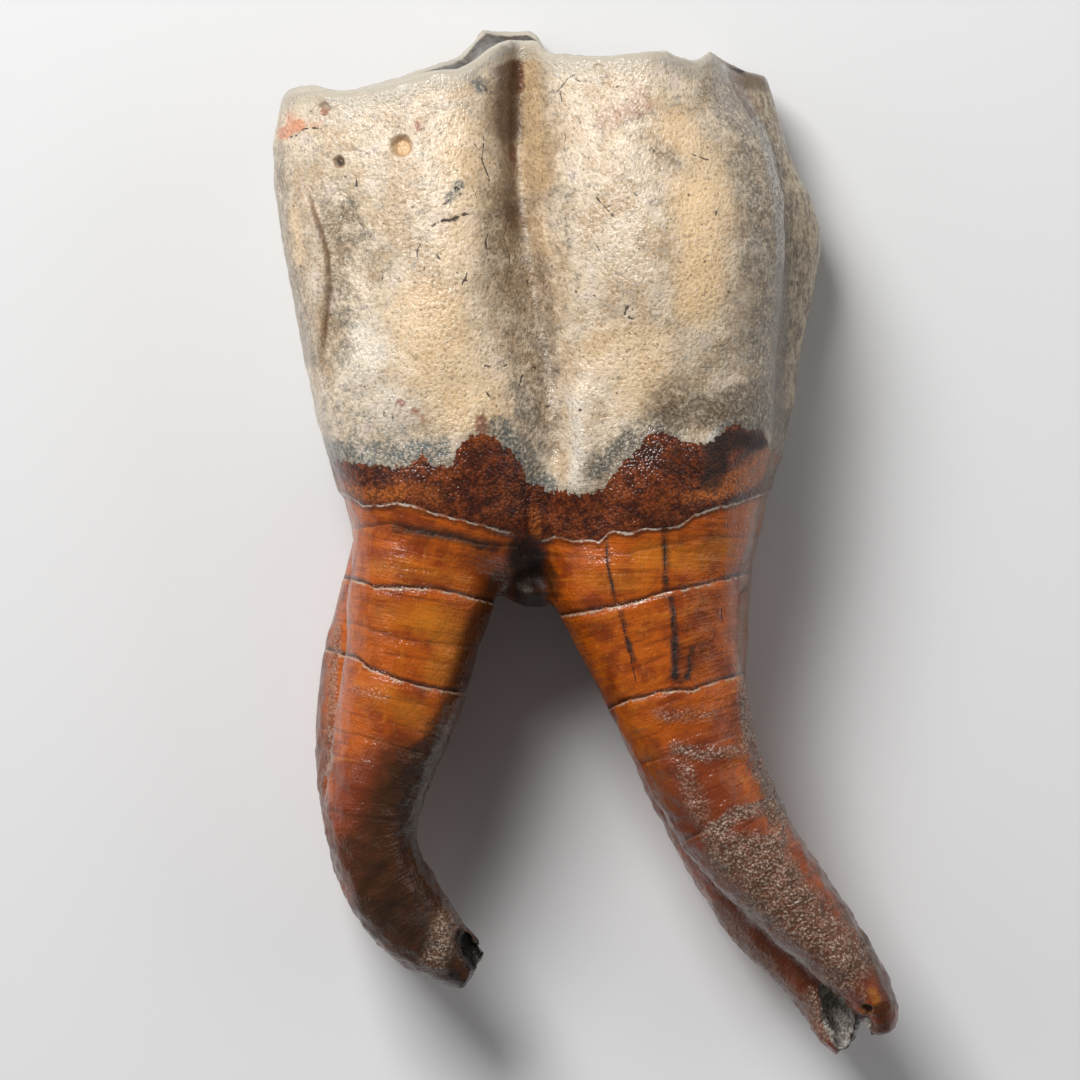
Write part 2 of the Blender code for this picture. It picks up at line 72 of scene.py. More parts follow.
# Crown outlines seen from the chewing end, one per height: (across, depth) of each column of
# the crown, from the mesio-labial corner along the labial face, round the distal end, back
# along the lingual face with its two valleys, and up the mesial face.
CROWN_OUTLINES = {
    57: (
        (-29.6, 18.5), (-27, 22.5), (-20, 25), (-13, 26), (-8.8, 24.4), (-7.1, 21.5), (-4.9, 23), (-1, 25),
        (5, 26.5), (10, 24.5), (13, 19.5), (14, 14.5), (17.2, 9), (16, 3.5), (12.5, 1.8), (8, 4),
        (3.5, 14), (-1, 6.5), (-6, 2.2), (-11, 3.6), (-17, 13.5), (-23, 8.5), (-27, 9.5), (-29.6, 14),
    ),
    47: (
        (-29.8, 19), (-27, 23.5), (-20, 26), (-13, 27), (-8.8, 25.4), (-7.1, 22.2), (-4.9, 23.9), (-1, 26),
        (5, 27.5), (10, 25.5), (13.4, 20), (14.2, 14.5), (17.8, 9), (16.5, 3), (12.5, 1), (8, 3.5),
        (3.5, 13), (-1, 6), (-6, 1.5), (-11, 3), (-17, 13), (-23, 8), (-27, 9), (-30, 14),
    ),
    38: (
        (-31.2, 19), (-28, 24), (-20, 27.2), (-12.8, 28.2), (-8.8, 26.4), (-7, 22.9), (-4.7, 24.9),
         (-0.8, 27.2),
        (6, 28.8), (13.5, 26.5), (18.7, 20.3), (18.2, 15), (20.7, 9), (19, 3), (13.5, 0.6), (8.3, 2.5),
        (3.5, 11), (-1.3, 5), (-6.5, 1), (-12, 2), (-17.3, 10), (-22.5, 6), (-27, 8), (-31, 13.5),
    ),
    29: (
        (-30.2, 19), (-27.3, 24.5), (-20, 27.8), (-12.5, 28.8), (-8.7, 27), (-6.1, 24), (-3.9, 25.9),
         (-0.5, 28),
        (6.5, 29.6), (15.3, 27.2), (20, 20.8), (19.6, 15), (23.6, 8.5), (21.5, 3), (14.5, 0.5), (8.5, 2),
        (3.5, 9), (-1.5, 4), (-7, 0.8), (-13, 1.8), (-17.5, 7), (-22, 4.5), (-27, 7), (-30, 13),
    ),
    12: (
        (-26.7, 18), (-25, 24.3), (-18.8, 27.6), (-12, 28.6), (-7.5, 27.6), (-3.1, 24.6), (-0.9, 26.4),
         (2, 27.2),
        (8, 28.3), (15, 25.9), (18.7, 20), (18.6, 14), (20.5, 8.5), (18.5, 3.5), (13, 1), (8, 1.2),
        (3, 4), (-2, 2), (-7.5, 0.8), (-13, 1), (-17, 3), (-20.5, 3), (-24, 6), (-26.5, 12),
    ),
    0: (
        (-23.3, 17), (-22, 23.2), (-16.8, 26), (-11.5, 26.5), (-7.5, 25), (-4.4, 22.8), (-1.8, 23.8),
         (2, 25.4),
        (7.5, 26.3), (14, 24.2), (17.1, 19), (17.3, 14), (17.8, 9), (16, 4.5), (11.5, 2.5), (7, 2.5),
        (2.5, 4), (-2, 3), (-7, 2.2), (-12, 2.2), (-15.5, 3), (-18.5, 4), (-21.5, 6.5), (-23.4, 12),
    ),
    -5: (
        (-22, 16), (-20.8, 21.4), (-16, 23.6), (-11.8, 23), (-8.8, 20), (-6.3, 16.5), (-4.2, 18.5), (0, 22),
        (6, 23.6), (13, 22), (15.4, 17.5), (15.6, 14), (15.8, 10), (14, 6), (10, 4.5), (5, 4.6),
        (-2, 7), (-5.5, 9.5), (-8.5, 7), (-12, 4.2), (-15, 4.2), (-17.5, 5), (-20, 7.5), (-22, 12),
    ),
}

# The crown's left and right edges: (height, across).
MESIAL_EDGE = (
    (-5, -22.4), (1, -23.4), (4, -24.2), (6, -24.8), (8.3, -25.5), (12, -26.7), (17, -27.9),
    (24.5, -29.2), (30, -30.3), (34, -30.9), (39, -31.3), (41.5, -30.9), (44, -30.4), (47, -29.8),
     (57, -29.5),
)
DISTAL_EDGE = (
    (-5, 16.4), (1, 17.8), (5, 18.4), (9, 19.7), (13.5, 20.8), (18.5, 21.5), (23.8, 22.7), (28.5, 23.6),
    (31, 23.5), (34, 22.6), (37, 21), (42, 19.5), (46.4, 18.2), (57, 17.6),
)

# The worn chewing surface: height of its labial and of its lingual edge along the crown.
LABIAL_RIM = (
    (-34, 44.4), (-30.2, 45.4), (-29.5, 46.1), (-27, 45.7), (-25, 44.9), (-21.5, 45.2), (-18.5, 45.8),
    (-15.5, 46.9), (-12.5, 47.2), (-10.7, 48.3), (-9.5, 49.2), (-7.3, 49.9), (-4.5, 49.8), (-3.9, 48.7),
    (1.5, 48.5), (6.5, 48.8), (7.7, 48.9), (11.2, 47.9), (12.6, 49), (13.3, 48.2), (16, 46.8), (22, 46),
)
LINGUAL_RIM = (
    (-34, 43), (-26, 44), (-23.3, 45), (-18.5, 46.7), (-16.5, 47.6), (-12.5, 48.8), (-11.5, 49.4),
    (-10.2, 51.3), (-9.6, 50.8), (-7.5, 50.7), (-5.7, 50.9), (-4.7, 50.4), (-3.9, 48.4), (0, 47.3),
    (6, 47), (10, 47.3), (12.6, 48.8), (14.5, 47.6), (16, 46.8), (22, 46),
)
RIM_DEPTHS = (4.0, 26.0)
ENAMEL_BAND = 1.7
DENTINE_DISH = 1.1

# What cuts the crown to that surface: its reach across and in depth, its top and its mesh.
CUTTER_ACROSS = (-38, 32)
CUTTER_DEPTHS = (-6, 36)
CUTTER_TOP = 64.0
CUTTER_STEP = 0.45

# Roots. Each is a broad plate of two joined lobes, labial and lingual. A station across a lobe
# is its left edge (across, height), its right edge, its middle depth and its half depth.
ROOT_LOBES = {
    "mesial_labial": (
        (-23, 3, -6.5, 3, 18, 7.6), (-23.4, -2.5, -8.2, -2.5, 18, 7.8), (-23.9, -6, -9, -6.8, 17.8, 7.7),
        (-24, -10.5, -10.5, -11, 17.5, 7.5), (-24.8, -16, -12.2, -17, 17.2, 7.3),
         (-25.4, -21, -14.4, -22.2, 17, 7),
        (-26, -25, -16.2, -26.8, 16.8, 6.6), (-25.9, -29.5, -16.7, -30.2, 16.5, 6.2),
        (-24.6, -34.4, -15.7, -32.4, 16, 5.8), (-22.4, -38.5, -14.2, -34.8, 15.5, 5.2),
        (-19.2, -41.8, -12.9, -37.2, 15, 4.8), (-15.6, -43.8, -11.2, -39.3, 14.8, 4.4),
        (-12.4, -45.2, -9.9, -41.6, 14.6, 3.6),
    ),
    "mesial_lingual": (
        (-22.5, 3, -7.5, 3, 8.5, 6.2), (-23.9, -2, -9, -2.5, 8, 6.4), (-24.8, -6, -10, -6.8, 7.6, 6.5),
        (-26.1, -10.5, -11.8, -11.5, 7.3, 6.6), (-26.9, -16, -13.6, -17.5, 7, 6.7),
         (-27.1, -20.5, -15.5, -22.5, 6.9, 6.7),
        (-26.8, -25, -17.3, -27, 7, 6.5), (-26, -29.5, -17.6, -30.3, 7.4, 6.1),
        (-24.9, -33.8, -16.5, -32.2, 8, 5.5), (-22.8, -37.6, -15.6, -34.4, 8.6, 4.8),
        (-19.8, -40.6, -14.6, -36.6, 9.5, 4), (-17, -42, -13.8, -38.4, 10.5, 3),
    ),
    "distal_labial": (
        (-4.6, 3, 16.6, 3, 18, 7.6), (-4.2, -2, 16, -2, 18, 7.8), (-3.4, -6.3, 15.5, -5.5, 17.8, 7.7),
        (-1.1, -10.4, 15.4, -9.5, 17.5, 7.5), (0.8, -14.2, 15.9, -13, 17.2, 7.3),
         (2.8, -18, 16.5, -16.5, 17, 7.2),
        (5, -22.5, 17.4, -20.8, 16.8, 7.1), (7.9, -27.8, 19.2, -25.4, 16.6, 6.9),
         (10.8, -32.3, 21.6, -29.6, 16.5, 6.6),
        (14.6, -36, 24, -33.2, 16.3, 6.2), (18.2, -39.6, 26.4, -36.8, 16, 5.8),
         (21.6, -42.6, 28.6, -40.2, 15.8, 5.4),
        (24.6, -45.2, 30.4, -43.4, 15.6, 5), (27.2, -47.8, 31.5, -46.4, 15.5, 4.2),
         (28.4, -49.7, 31, -48.8, 15.4, 2.8),
    ),
    "distal_lingual": (
        (-4, 3, 17.2, 3, 8.5, 6.2), (-3.6, -2, 17, -2, 8, 6.4), (-2.6, -6.5, 16.6, -5.5, 7.6, 6.5),
        (-0.6, -10.6, 16.4, -9.5, 7.2, 6.7), (1.2, -14.4, 16.3, -13.2, 7, 6.7),
         (3, -18.3, 16.5, -16.7, 6.8, 6.7),
        (5, -22.8, 17, -20.5, 6.7, 6.6), (7.4, -28, 18.2, -25, 6.8, 6.5), (9.7, -32.5, 20, -29.2, 7, 6.3),
        (12.3, -36.6, 22, -33.3, 7.4, 6), (15.4, -40.8, 24, -37.4, 8, 5.6),
         (18.7, -44, 25.8, -41.4, 8.8, 5.2),
        (21.4, -47, 27.4, -45.2, 9.8, 4.6), (23.2, -50, 27.3, -48.6, 10.4, 3.8),
         (24.6, -51.4, 26.6, -50.8, 10.8, 2.8),
    ),
}
ROOT_SQUARENESS = 0.86

# Hollows broken into the root tips: (across, height, depth), half sizes, turn in the sheet plane.
TIP_HOLLOWS = (
    ((-11.3, -41.2, 17.4), (0.9, 2.1, 3.6), 28),
    ((-13.1, -43.6, 17.8), (0.5, 0.42, 1.6), 0),
    ((25.2, -47.4, 13.8), (1.3, 3.7, 3.4), 14),
    ((27.75, -50, 14.6), (0.5, 2.7, 6), 0),
)

# The web that closes the fork between the roots: its middle, half sizes and turn.
ROOT_WEB = ((-5.6, -5, 13), (3.4, 1.7, 7.5), -10)

# Where the enamel ends on each side, and the edge of the brown stain above it.
LABIAL_NECK = (
    (-25, 4.8), (-24.4, 4.7), (-23.5, 4.3), (-22.2, 3.4), (-20.5, 3.4), (-18.5, 3.7), (-17, 3.3),
    (-15.1, 2.6), (-13.2, 2.1), (-11.3, 1.7), (-9.4, 1.2), (-7.1, 0.6), (-6.5, 0.4), (-4.1, -0.1),
    (-3, 0.3), (-1.1, -0.2), (0.5, 0), (1.4, -0.3), (2.6, 0.9), (4.7, 0.6), (5.8, 1.1), (7.7, 1.1),
    (9.5, 1.4), (10.8, 2.4), (12.7, 3.1), (15.4, 3.7), (16.5, 4.1), (18, 4.8), (20, 5.4),
)
LINGUAL_NECK = ((-25, 4.8), (-20, 2.5), (-13, 4.5), (-6, 1), (0, 1.5), (8, 4.5), (15, 3.5), (20, 5.4))
LABIAL_STAIN = (
    (-27, 8.6), (-25.1, 8.1), (-22.8, 7.7), (-19.9, 7.4), (-17.8, 7.2), (-16.3, 8.7), (-15.1, 7.4),
    (-13.2, 7.7), (-12.6, 9.4), (-11.4, 10.3), (-10.2, 10.6), (-9.2, 10.3), (-8.4, 9.5),
    (-7.1, 8.7), (-6.3, 7.5), (-6, 6), (-3.6, 4.9), (-0.8, 4.5), (0.5, 4.7), (2, 5.3), (3.2, 7),
    (5.1, 8.9), (6.2, 10.4), (7.4, 11), (9.3, 10.4), (10, 9.8), (12, 9.5), (13.9, 11),
    (15, 11.6), (16.2, 11), (17.5, 11.4), (18.2, 9.5), (20, 8.5), (22, 8),
)
LINGUAL_STAIN = (
    (-27, 8.6), (-22, 9.5), (-16, 8.2), (-11, 11), (-4, 8), (2, 9.5), (8, 7.4), (14, 10), (22, 8),
)
NECK_STEP = 0.3
ROOT_SPLIT = -6.5

# Growth ledges of the roots, deep ones first: path (across, height), depth, how pale its lip is (crust with a
# painted highlight).
MESIAL_LEDGES = (
    (((-27, -3.3), (-22.5, -4.1), (-21.2, -4.7), (-18.7, -4.7), (-15.9, -4.8), (-13.8, -5.1),
     (-11.7, -5.6), (-9, -6.3), (-7, -7)), 0.2, 1),
    (((-27, -10.6), (-22.9, -11.8), (-21.8, -12.8), (-19.8, -13.5), (-17.6, -14.3), (-15, -14.9),
     (-11.8, -15.3), (-9, -15.6)), 0.2, 0.8),
    (((-27, -7.6), (-22.6, -8.5), (-20.6, -9.3), (-18, -10), (-15, -10.3), (-11.7, -10.7)), 0.06, 0.25),
    (((-25, 0.9), (-19.3, 1.6), (-16.6, 0.7), (-13.6, 0.3), (-10.1, -0.5), (-8.4, -0.7)), 0.1, 0.15),
    (((-28, -18.5), (-23, -19.5), (-20, -20.3), (-16, -21.5), (-14, -22.5)), 0.06, 0.2),
    (((-28, -26.5), (-24, -27.5), (-20, -28), (-16, -28.4)), 0.05, 0.1),
)
DISTAL_LEDGES = (
    (((-5, -7.9), (-1.9, -7.5), (0.9, -7), (3.2, -6.6), (5.3, -6.1), (7.7, -5.3), (10.8, -4.7),
     (14.9, -3.8), (18, -3)), 0.2, 1),
    (((0, -17.8), (2.5, -16.8), (4.1, -16.1), (6.2, -15.6), (8.5, -15), (10.8, -15), (12.3, -14.4),
     (15.1, -13.6), (18, -12.8)), 0.2, 0.8),
    (((4, -23), (8.7, -21.5), (12.8, -20.2), (15.6, -19.3), (19, -18.3)), 0.06, 0.4),
    (((8, -31), (12.6, -28.8), (15.6, -27.1), (18.7, -26), (22, -24.5)), 0.1, 0.4),
    (((-5, -1.6), (-3.7, -1.7), (-0.7, -1.7), (1.6, -2), (2.4, -1.6), (6, -1), (12, 0.2)), 0.06, 0.2),
    (((11, -35), (14, -33.4), (18, -31.6), (22, -29.6)), 0.06, 0.1),
)

# Round pits in the labial enamel, and one in a root tip: (across, height), radius, depth, darkness.
PITS = (
    ((-18.4, 39.4), 1.15, 0.9, 0.7),
    ((-24.6, 37.8), 0.6, 0.3, 0.85),
    ((-25.95, 43.1), 0.75, 0.25, 0.5),
    ((1.3, 47.1), 0.55, 0.15, 0.3),
    ((28.2, -47), 0.6, 0.7, 1),
)

# Broad strokes of the labial side: path (across, height), reach, rise (- is a groove).
STROKES = (
    (((-25.5, 37), (-24, 32), (-22.8, 26), (-23, 16)), 5.4, -0.5),
    (((-16, 42), (-14.6, 34), (-14.2, 24), (-14.6, 12)), 7.8, 0.8),
    (((-7.3, 54), (-7.3, 36), (-6.2, 29), (-4.8, 24), (-3.8, 19), (-3.3, 12), (-3, 7)), 5.1, -1.1),
    (((1, 44), (4.5, 34), (5.5, 26), (5, 17.5)), 12.8, 1),
    (((-1.2, 18), (-1, 10), (-1.1, 2)), 3.4, 0.8),
    (((3, 10.5), (8.5, 12), (14, 13.5)), 5.1, -0.8),
    (((-24, 10.5), (-19, 9.5), (-13, 10.5)), 4.4, -0.4),
    (((12, 48), (15.5, 42), (17.6, 34), (17.8, 24), (16.8, 13)), 4.4, -0.5),
)

# The fold near the mesial edge: a rolled ridge on its mesial side falls sharply into it.
FOLD = (
    (-28.8, 38.5), (-28, 35.5), (-27.3, 34), (-26.8, 32.5), (-26.4, 31.5), (-25.8, 29), (-25.6, 27.8),
    (-25.5, 25.5), (-25.7, 23.5), (-26.1, 19), (-26.3, 15),
)
FOLD_RIDGE = 0.75
FOLD_DROP = 0.6
FOLD_FADE = 6

# ---------------------------------------------------------------- its stains, cracks and skin

# Soft stains seen on the labial side, by kind, with painted shade and painted highlights among them: path
# (across, height), half width, strength.
STAINS = {
    # Grime, and painted shade where the distal lobe turns away: down its distal flank and above the brown
    # stain at the distal end.
    "grime_and_shade": (
        (((-25, 34.5), (-24, 30.5), (-21.5, 27.5)), 2.8, 0.35),
        (((-23.6, 33.4), (-22.8, 30.6)), 1.2, 0.5),
        (((-25.5, 24), (-24.5, 17), (-24, 12.5)), 2.6, 0.3),
        (((-30.6, 39), (-30.4, 34), (-29.4, 27), (-27.6, 18)), 1, 0.55),
        (((-25.6, 33), (-24.6, 25), (-24.8, 18.5)), 1.3, 0.4),
        (((-10, 12.5), (-7.8, 9.8), (-5, 6.8)), 1.2, 0.5),
        (((-9, 34), (-8, 26), (-6, 19), (-5.4, 11)), 2.2, 0.5),
        (((-3.6, 44), (-2.6, 36), (-2.4, 30)), 2.2, 0.25),
        (((1, 7.2), (4.5, 9.6), (9, 12), (14, 13.3), (18, 15)), 1.9, 0.78),
        (((15.3, 38.5), (16.3, 33), (16.4, 27)), 1.3, 0.5),
        (((-4.6, 28), (-3.9, 22), (-3.4, 17)), 1.2, 0.45),
        (((8, 14.5), (13, 17), (17.8, 21)), 2, 0.4),
        (((13, 12.6), (16, 12.2), (19.4, 12)), 1.7, 0.95),
        (((13.2, 45), (16.7, 41), (18.5, 35), (18.9, 28), (18.4, 18)), 2.1, 0.7),
        (((5.5, 42), (6, 36), (8, 34)), 2.4, 0.3),
        (((7.5, 39), (9, 37.6)), 0.8, 0.5),
        (((13.6, 48.6), (15, 47.7), (15.9, 46.9)), 0.55, 1),
    ),
    "slate": (
        (((-25.8, 9.1), (-22.4, 8.6), (-18, 8.6), (-14.5, 8.8)), 1.35, 0.82),
        (((-24.5, 12.4), (-20, 10.6), (-14.5, 9.6)), 2.2, 0.35),
        (((-8.6, 11.4), (-6.6, 8.6), (-5, 6.3), (-3.6, 5.5)), 1.15, 0.95),
        (((-11.2, 46.4), (-10.4, 45.2)), 0.75, 1),
        (((-12.6, 35.4), (-13.5, 34.2)), 0.65, 0.8),
        (((-24, 25), (-23.2, 21.6)), 1.4, 0.35),
        (((-6.6, 15), (-4.6, 9)), 1.8, 0.45),
        (((1, 6.8), (3.4, 9.2), (4.6, 10.6)), 1, 0.7),
        (((-2.2, 35), (-1.6, 30)), 1.6, 0.3),
    ),
    # Pale patches, and painted highlights along the distal crest and on the enamel edge above the brown stain
    # at the distal end.
    "pale_and_highlight": (
        (((13.2, 48.6), (15.4, 45.6), (17.9, 40.5), (19.2, 35), (19.6, 29.5), (19.3, 22)), 0.5, 0.85),
        (((-1, 13.5), (-0.8, 9), (-1, 5.6)), 1, 0.55),
        (((-27.6, 42.7), (-24.6, 41.9), (-21.8, 43.4)), 1.2, 0.45),
        (((-2.5, 46.8), (1, 46)), 1, 0.4),
        (((-21.5, 20.5), (-22.8, 15.5), (-18.5, 12.5)), 2.8, 0.5),
        (((12.3, 10), (13.5, 11.3), (14.8, 12.1)), 0.3, 0.9),
    ),
    # Warm tone, and painted light on the golden wall on the groove's distal side and on the distal lobe's
    # flank.
    "warm_tone_and_light": (
        (((-12, 40), (-11.5, 34), (-12.5, 29)), 2.6, 0.45),
        (((-15.5, 22), (-13.5, 17), (-11, 14)), 4.2, 0.6),
        (((-5.9, 47), (-5.3, 41), (-4.8, 36)), 1.6, 1),
        (((-5.4, 36), (-4.4, 29)), 1.1, 0.5),
        (((10.6, 34), (12, 29), (11.2, 24)), 2.6, 0.95),
        (((9, 41.5), (12, 38), (13.5, 33)), 1.8, 0.6),
        (((2, 19), (7, 19.5), (5, 15)), 2.5, 0.5),
        (((-29.3, 33), (-28.8, 28)), 0.8, 0.6),
        (((-25, 5.6), (-22, 4.6), (-18.5, 4.6)), 0.8, 0.6),
        (((-18, 5.4), (-15, 4.4)), 1.1, 0.5),
        (((13, 5.2), (16, 6.2), (18, 8.2)), 1.3, 1),
        (((10, 4.2), (12.6, 4.6)), 0.7, 0.6),
        (((-5.2, 3), (-5, 0.6)), 0.7, 0.8),
    ),
    "salmon": (
        (((-30.2, 40.7), (-29.5, 41.2), (-28.7, 41.5)), 0.7, 1),
        (((-29.8, 42.2), (-29.2, 42.6)), 0.5, 0.5),
        (((-28.8, 41.5), (-26.6, 41.7)), 0.6, 0.4),
    ),
    "rust": (
        (((5, 45), (5.8, 43.4), (2, 42)), 1.3, 0.5),
        (((-16.9, 41.8), (-16.6, 41.2)), 0.45, 0.9),
        (((-18.5, 13.9), (-18.3, 13.7)), 0.42, 1),
        (((-17.2, 12.9), (-16.9, 12.7)), 0.4, 1),
        (((-16.3, 12.1), (-16.1, 12)), 0.36, 0.95),
        (((-6.7, 47.6), (-6.5, 45.2)), 0.6, 0.9),
        (((-7.3, 39.2), (-7.2, 38)), 0.5, 0.9),
        (((-25.9, 43.5), (-26.1, 42.9)), 0.6, 0.8),
        (((14.4, 46.4), (15.8, 44.8), (17, 42.8)), 1.1, 0.5),
        (((-10.4, 12), (-10.3, 10.8)), 0.7, 1),
        (((-20, -23), (-23.2, -28), (-23.2, -33), (-19.5, -38.5), (-15, -42.5)), 3.4, 0.95),
        (((-26.2, -4), (-27.2, -13), (-27.4, -24), (-26, -33)), 1.7, 0.6),
        (((10.5, -20.5), (13, -20.5), (15.5, -18)), 2, 0.55),
        (((10, -25.5), (14.5, -32), (22, -41), (28.5, -48)), 5.6, 0.95),
        (((14.5, -38), (19.5, -44), (24, -50)), 3, 0.9),
        (((-13, 0.6), (-20, 2.2)), 0.8, 0.4),
    ),
    # Brown stain at the top of the groove, and painted shade down its lower valley and along the low groove
    # at the distal end.
    "groove_stain_and_shade": (
        (((-7.6, 50), (-7.75, 46), (-7.7, 41)), 1.45, 1),
        (((-7.8, 42), (-7.7, 37), (-7.2, 32)), 1, 0.6),
        (((-9, 47.5), (-8.8, 42), (-8.6, 35), (-8.2, 27)), 1.8, 0.3),
        (((-5.4, 49), (-5, 42), (-4.6, 35)), 2, 0.5),
        (((-6.4, 33), (-5, 27), (-4.2, 22), (-3.8, 16), (-3.4, 10)), 1.5, 0.5),
        (((7, 13), (12.5, 13), (17.5, 15)), 2.2, 0.4),
        (((12, 19.5), (15.5, 21), (17, 26)), 1.8, 0.2),
    ),
    # Dark stains, and painted shade: on the distal side of the mesial root, along the distal edge of the
    # distal root, and under the neck.
    "dusk_stain_and_shade": (
        (((-16.6, -24), (-18.8, -29), (-18.4, -33.5), (-15.6, -38), (-12, -42)), 4.7, 0.97),
        (((-23.6, -31), (-20.5, -38)), 1.8, 0.6),
        (((18, -33), (25, -42)), 4, 0.25),
        (((-8.4, -4.4), (-10.3, -8), (-11.6, -13), (-13.8, -19), (-15.5, -24)), 1.6, 0.8),
        (((-3.4, -3.2), (-3.2, -5.4)), 0.8, 0.6),
        (((-26.2, -7), (-27, -17), (-26.8, -27), (-25, -34)), 1, 0.45),
        (((5.6, 9.4), (8, 8.4), (10.6, 6.8)), 1.5, 0.6),
        (((-19, 1.2), (-13.5, 0.4), (-9, -0.8)), 0.7, 0.7),
        (((-23, -16.2), (-18, -17.6), (-14, -18.4)), 0.8, 0.3),
        (((11.5, -6), (11.5, -13.5)), 2.2, 0.35),
        (((-22, -37), (-18.5, -40.5), (-15.5, -42.5)), 1.8, 0.75),
        (((15.5, -17), (16.5, -22)), 1.4, 0.35),
        (((8.5, -27), (12.5, -32), (19, -40), (25, -45)), 1.8, 0.35),
        (((13, -37.5), (17.5, -42.5), (21.5, -47.5)), 1.8, 0.5),
        (((18.5, -24), (23.5, -31), (28.6, -39.5), (31.4, -45.5)), 1.6, 0.75),
        (((29.6, -47), (30.2, -49), (28.8, -49.4)), 1, 0.6),
    ),
    # Sooty black, and painted shade: in the fork between the roots, under the neck, in the gap behind the
    # crest on the chewing end, and on the thin wall beside the distal tip's hollow.
    "soot_and_shade": (
        (((-6.3, 0.2), (-6.1, -1.6)), 1.5, 0.5),
        (((-5.8, -2), (-5.6, -4.5), (-5.6, -7)), 2.2, 0.97),
        (((-17, 0.9), (-13, 0.1), (-9.2, -1)), 0.35, 0.6),
        (((-11.6, -14), (-10.6, -15.2)), 0.8, 0.6),
        (((-15, -20.5), (-17.6, -25.5), (-17.4, -31), (-15, -35)), 1.8, 0.45),
        (((-19, -37), (-15.5, -39.5), (-13.5, -41)), 2.4, 0.45),
        (((13.4, 48.6), (14.6, 47.7), (15.6, 47.2)), 0.6, 1),
        (((8.7, -6), (9, -9), (8.9, -13.6)), 0.45, 0.65),
        (((9.2, -10.2), (9.5, -14)), 0.85, 0.5),
        (((10.8, -10.8), (10.4, -13.8)), 0.45, 0.65),
        (((8, 0.8), (8.1, -4.9)), 0.5, 0.6),
        (((2.1, 0), (2.4, -3.4), (3, -6.1)), 0.32, 0.5),
        (((3.6, -7.2), (4.4, -11)), 0.4, 0.55),
        (((4.3, -10.3), (4.8, -12)), 0.38, 0.65),
        (((12.6, 9.8), (13.2, 7.8), (12.6, 6)), 1.5, 0.85),
        (((14.5, 10), (17.2, 9.9)), 1.1, 0.85),
        (((-16.5, 4.8), (-9, 3.4), (2, 2)), 1, 0.3),
        (((27.6, -46.4), (28.6, -47.2)), 0.5, 0.6),
        (((-13.8, -44.3), (-11.6, -44.4)), 0.5, 0.55),
        (((27.3, -47.8), (26.9, -49.6), (26, -51.2)), 0.5, 0.8),
    ),
    # Golden amber, and painted highlights: golden ones high on the roots and an orange one on the distal tip.
    "gold_and_highlight": (
        (((-20, -7.4), (-13, -8.2)), 1.6, 0.5),
        (((-15.5, -8), (-13, -10.5), (-14.5, -13.2)), 1.9, 0.7),
        (((-21, -2.6), (-12, -4)), 0.9, 0.5),
        (((-17, -17), (-14.8, -19.6)), 1.4, 0.5),
        (((-20, -15.6), (-17.5, -17.6)), 1.5, 0.55),
        (((4.4, -18), (6.6, -22.5), (8.4, -26.5)), 1.3, 0.3),
        (((6, -1.5), (11, -1.8), (14, -0.6)), 1.5, 0.7),
        (((0.5, -4), (6, -4.2)), 1.2, 0.5),
        (((28.8, -45.2), (29.2, -46.2)), 0.6, 0.8),
    ),
    # Ash grey, and a painted reflection down the distal edge of the crown and the distal root.
    "ash_and_reflection": (
        (((-13.6, -17), (-14.9, -22), (-16.4, -27), (-16.4, -31.5)), 0.8, 0.5),
        (((-24.6, -3), (-25, -8), (-25.2, -14), (-25.6, -22)), 0.5, 0.4),
        (((19.6, 27), (19.4, 16), (19.2, 10), (18.3, 5), (17, 0), (16.2, -6), (16, -14)), 0.85, 1),
    ),
    "crust": (
        (((7.5, -17.6), (12.5, -17.4)), 1, 0.45),
        (((9, -20.8), (12, -21.6), (15.4, -21)), 0.8, 0.7),
        (((9.8, -23), (11.6, -27.6)), 1.4, 0.55),
        (((15.9, -14.6), (16.6, -20), (18.4, -24.6), (20, -27.5)), 0.9, 0.85),
        (((12.4, -29.6), (15, -27.4), (18.6, -26.6), (19.6, -29.6), (16.2, -31)), 0.85, 0.95),
        (((14.6, -31.6), (18.5, -32.5), (20.5, -36)), 2.8, 1),
        (((18.5, -36), (23, -38.6), (26, -42)), 3, 0.92),
        (((14, -38.5), (18, -43), (22, -48)), 1.6, 0.45),
        (((22.6, -45.4), (24, -49.6)), 0.8, 0.75),
        (((24.5, -44.2), (28, -45.6)), 0.9, 0.5),
        (((-13.8, -38.2), (-14.4, -40.6), (-15.2, -42.4)), 1.5, 0.85),
        (((-24.7, -8.5), (-25.2, -13), (-25.4, -18), (-25.8, -23)), 0.5, 0.65),
        (((-26.2, -6), (-27, -14), (-27.2, -22), (-26.2, -30)), 1.1, 0.45),
        (((-6.2, -2.4), (-5.8, -6.6)), 1, 0.3),
        (((-23, -15), (-20, -15.8)), 0.7, 0.4),
    ),
}

# How far out a stain is whole, and over how far it then fades, as shares of its half width.
STAIN_CORE = 0.35
STAIN_EDGE = 1.1

